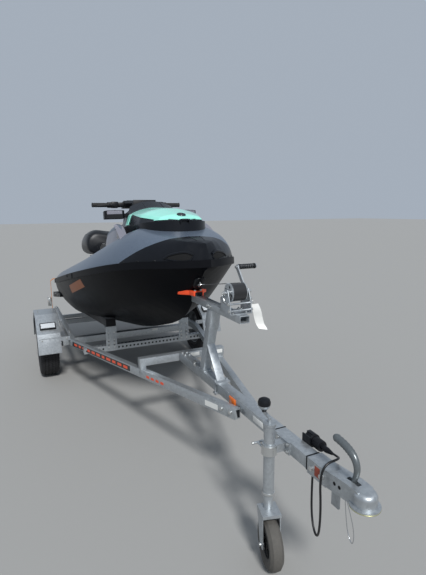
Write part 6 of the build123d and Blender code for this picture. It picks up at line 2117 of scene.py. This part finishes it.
@dataclass
class Hitch:
    """The coupling's lever and fasteners, the jockey's knob and screws, and the plug's ribs."""

    lever_line: Points = (
        (3200, 0, 566), (3216, 0, 612), (3216, 0, 646), (3196, 0, 676), (3156, 0, 694),
        (3098, 0, 703),
    )
    knob: Points = (
        (0, -36), (9, -36), (12, -26), (20, -16), (27, -4), (28.2, 8), (24, 20), (12, 27), (0, 28),
    )

    def _lever(self) -> None:
        """The curved enamelled handle, thicker towards its end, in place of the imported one."""
        line = smooth_line(self.lever_line, 7)
        count = len(line) - 1
        sizes = [9 + 5.5 * min(k / (count * 0.7), 1.0) for k in range(len(line))]
        sizes[-1] = 9.0
        lever = Sketch()
        lever.tube(line, sizes, 20, 0.86)
        lever.turn([(11, -7), (11, 7)], frame_at((3200, 0, 570), (0, 1, 0)), 28)
        handle = lever.piece("coupling_handle", SLEEVE, "coupling_lever", "lever_black", 50)
        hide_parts("coupling_lever")
        ribs = Sketch()
        for k in range(count - 14, count - 1, 2):
            ribs.tube([line[k], line[k] + (line[k + 1] - line[k]) * 0.45], sizes[k] + 0.9, 20, 0.86)
        ribs.piece("handle_ribs", SLEEVE, "coupling_lever", "lever_black")

    def _coupling(self) -> None:
        """Through bolts, the lever's pin, the red label, two holes of painted shade and the
        passivated rim.
        """
        bolts = Sketch()
        for x in (3018, 3078):
            for side in (-1, 1):
                bolts.bolt((x, side * 36, 534), (0, side, 0), 19, nut=side > 0)
        for side in (-1, 1):
            bolts.bolt((3200, side * 20, 570), (0, side, 0), 9, False)
        bolts.piece("coupling_bolts", PLATED, ROOT, "galvanised")
        label = Sketch()
        label.slab((3036, -36.8, 514), (3066, -36, 556), 0.2)
        label.piece("coupling_label", RED_LABEL, ROOT, "galvanised")
        holes = Sketch()
        for x in (3148, 3174):
            # Painted shade: black discs stand for the dark insides of two holes
            holes.turn([(0, 0.4), (7, 0.4), (7, -0.5)], frame_at((x, -36.3, 548), (0, -1, 0)), 20)
        holes.piece("coupling_hole_shade", MESH, ROOT, "galvanised")
        rim = Sketch()
        lip = [(44, 3.6), (53, 3.8), (54.6, 2), (54, -0.6), (50, -0.9)]
        rim.turn(lip, frame_at((3262, 0, 524), UP), 48)
        rim.piece("coupling_rim", PASSIVATED, ROOT, "galvanised")

    def _jockey(self) -> None:
        """The black knob, the clamp's handle ends and the tube's collar screws."""
        knob = Sketch()
        knob.turn(self.knob, frame_at((2778, -106, 716), UP), 36)
        knob.piece("jockey_knob", TRIM, ROOT, "trim_black")
        ends = Sketch()
        end = [(0, 4), (5.4, 3.6), (6.6, 1), (6.6, -3), (5, -5)]
        for y, way in ((-150, -1), (-102, 1)):
            ends.turn(end, frame_at((2760, y, 534), (0, way, 0)), 16)
        for x, z in ((2786, 516), (2858, 516), (2786, 550), (2858, 550)):
            ends.bolt((x, -38, z), (0, -1, 0), 13)
        ends.turn([(24.4, 0), (27, 1), (27, 9), (24.4, 10)], frame_at((2822, -106, 322), UP), 36)
        ends.turn([(24.5, 0), (33, 2), (33, 44), (24.5, 46)], frame_at((2822, -106, 508), UP), 36)
        ends.piece("jockey_fittings", PLATED, ROOT, "galvanised")

    def _plug(self) -> None:
        """Ribs round the parked plug, its lid and the ties that hold the cable."""
        ribs = Sketch()
        place = frame_at((2912, 62, 570), AHEAD)
        for k in range(5):
            rib = k * 9
            ring = [(21.5, 4 + rib), (23.4, 5 + rib), (23.4, 9 + rib), (21.5, 10 + rib)]
            ribs.turn(ring, place, 32)
        ribs.turn([(26.6, -10), (29, -9), (29, -1), (26, 1), (22, 1.5)], place, 36)
        ribs.slab((2868, 52, 594), (2912, 72, 600), 2)
        for x in (2740, 2976):
            for low, high in ((504.6, 506), (562, 563.4)):
                ribs.slab((x, -31.6, low), (x + 7, 31.6, high), 0.4)
            for y in (-31.6, 30):
                ribs.slab((x, y, 504.6), (x + 7, y + 1.6, 563.4), 0.4)
        ribs.piece("plug_ribs", TRIM, ROOT, "trim_black")

    def build(self) -> None:
        """Makes the hitch's details."""
        self._lever()
        self._coupling()
        self._jockey()
        self._plug()


@dataclass
class StrapTrim:
    """Ratchets, rolls and hooks of the tie-down strap, and the winch strap's hook."""

    x: float = -1010.0
    strap_y: float = 650.0
    hook_line: Points = ((590, 345), (585, 338), (572, 336), (564, 346), (566, 362))
    drum_top: Point = (2335.0, 0.0, 1160.0)
    eye_reach: float = 29.0

    def build(self) -> None:
        """Makes all strap fittings."""
        steel, straps = Sketch(), Sketch()
        x = self.x
        for side in (-1, 1):
            y = side * self.strap_y
            for u, way in ((-24, -1), (24, 1)):
                low, high = sorted((y, y + side * 34))
                steel.slab((x + u - 1.5, low, 452), (x + u + 1.5, high, 552), 0.6)
                pin = frame_at((x + u, y + side * 18, 500), (way, 0, 0))
                steel.turn([(0, 3), (13, 3), (13, 0), (0, 0)], pin, 24)
            steel.tube([(x - 31, y + side * 20, 500), (x + 31, y + side * 20, 500)], 8, 18)
            steel.tube([(x - 30, y + side * 30, 548), (x + 30, y + side * 30, 548)], 5, 14)
            low, high = sorted((y + side * 26, y + side * 29))
            steel.slab((x - 20, low, 508), (x + 20, high, 556), 1)
            roll = frame_at((x - 20, y + side * 20, 500), AHEAD)
            straps.turn([(8, 0), (14.5, 0.6), (15, 3), (15, 37), (14.5, 39.4), (8, 40)], roll, 28)
            hook = [(x, side * v, z) for v, z in self.hook_line]
            steel.tube(smooth_line(hook, 4), 4, 12)
        steel.piece("ratchet_works", PLATED, ROOT, "steel_rod")
        straps.piece("ratchet_rolls", WEBBING, ROOT, "webbing_orange")
        hook = Sketch()
        reach = self.eye_reach * math.cos(BOW_EYE_TILT)
        drop = self.eye_reach * math.sin(BOW_EYE_TILT)
        bar = Vector((BOW_EYE[0] + reach, 0, BOW_EYE[2] - drop))
        eye = Ground.TRAILER.matrix().inverted() @ (CRAFT.matrix() @ bar)
        ahead = (Vector(self.drum_top) - eye).normalized()
        turns = [math.pi * k / 8 for k in range(16)]
        middle = eye + ahead * 26
        ring = [middle + Vector((0, 19 * math.sin(a), 0)) + ahead * 11 * math.cos(a) for a in turns]
        hook.tube([*ring, ring[0]], 3.2, 10)
        bend = ((16, 0), (4, 10), (-10, 2), (-6, -9))
        hook.tube([eye + ahead * u + Vector((0, 0, v)) for u, v in bend], 4.2, 12)
        hook.piece("winch_hook", PLATED, ROOT, "steel_rod")


def main() -> None:
    """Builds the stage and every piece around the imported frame."""
    logging.basicConfig(level=logging.INFO, format="%(name)s: %(message)s")
    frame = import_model()
    dressed = (
        Stage(), Lines(frame), CarriedNodes(frame), Seats(), Fairing(frame), Console(frame),
        DeckTrim(frame), RailTrim(frame), Wheels(), Lamps(), WinchTrim(), Hitch(), StrapTrim(),
    )
    for each in dressed:
        each.build()


if __name__ == "__main__":
    main()
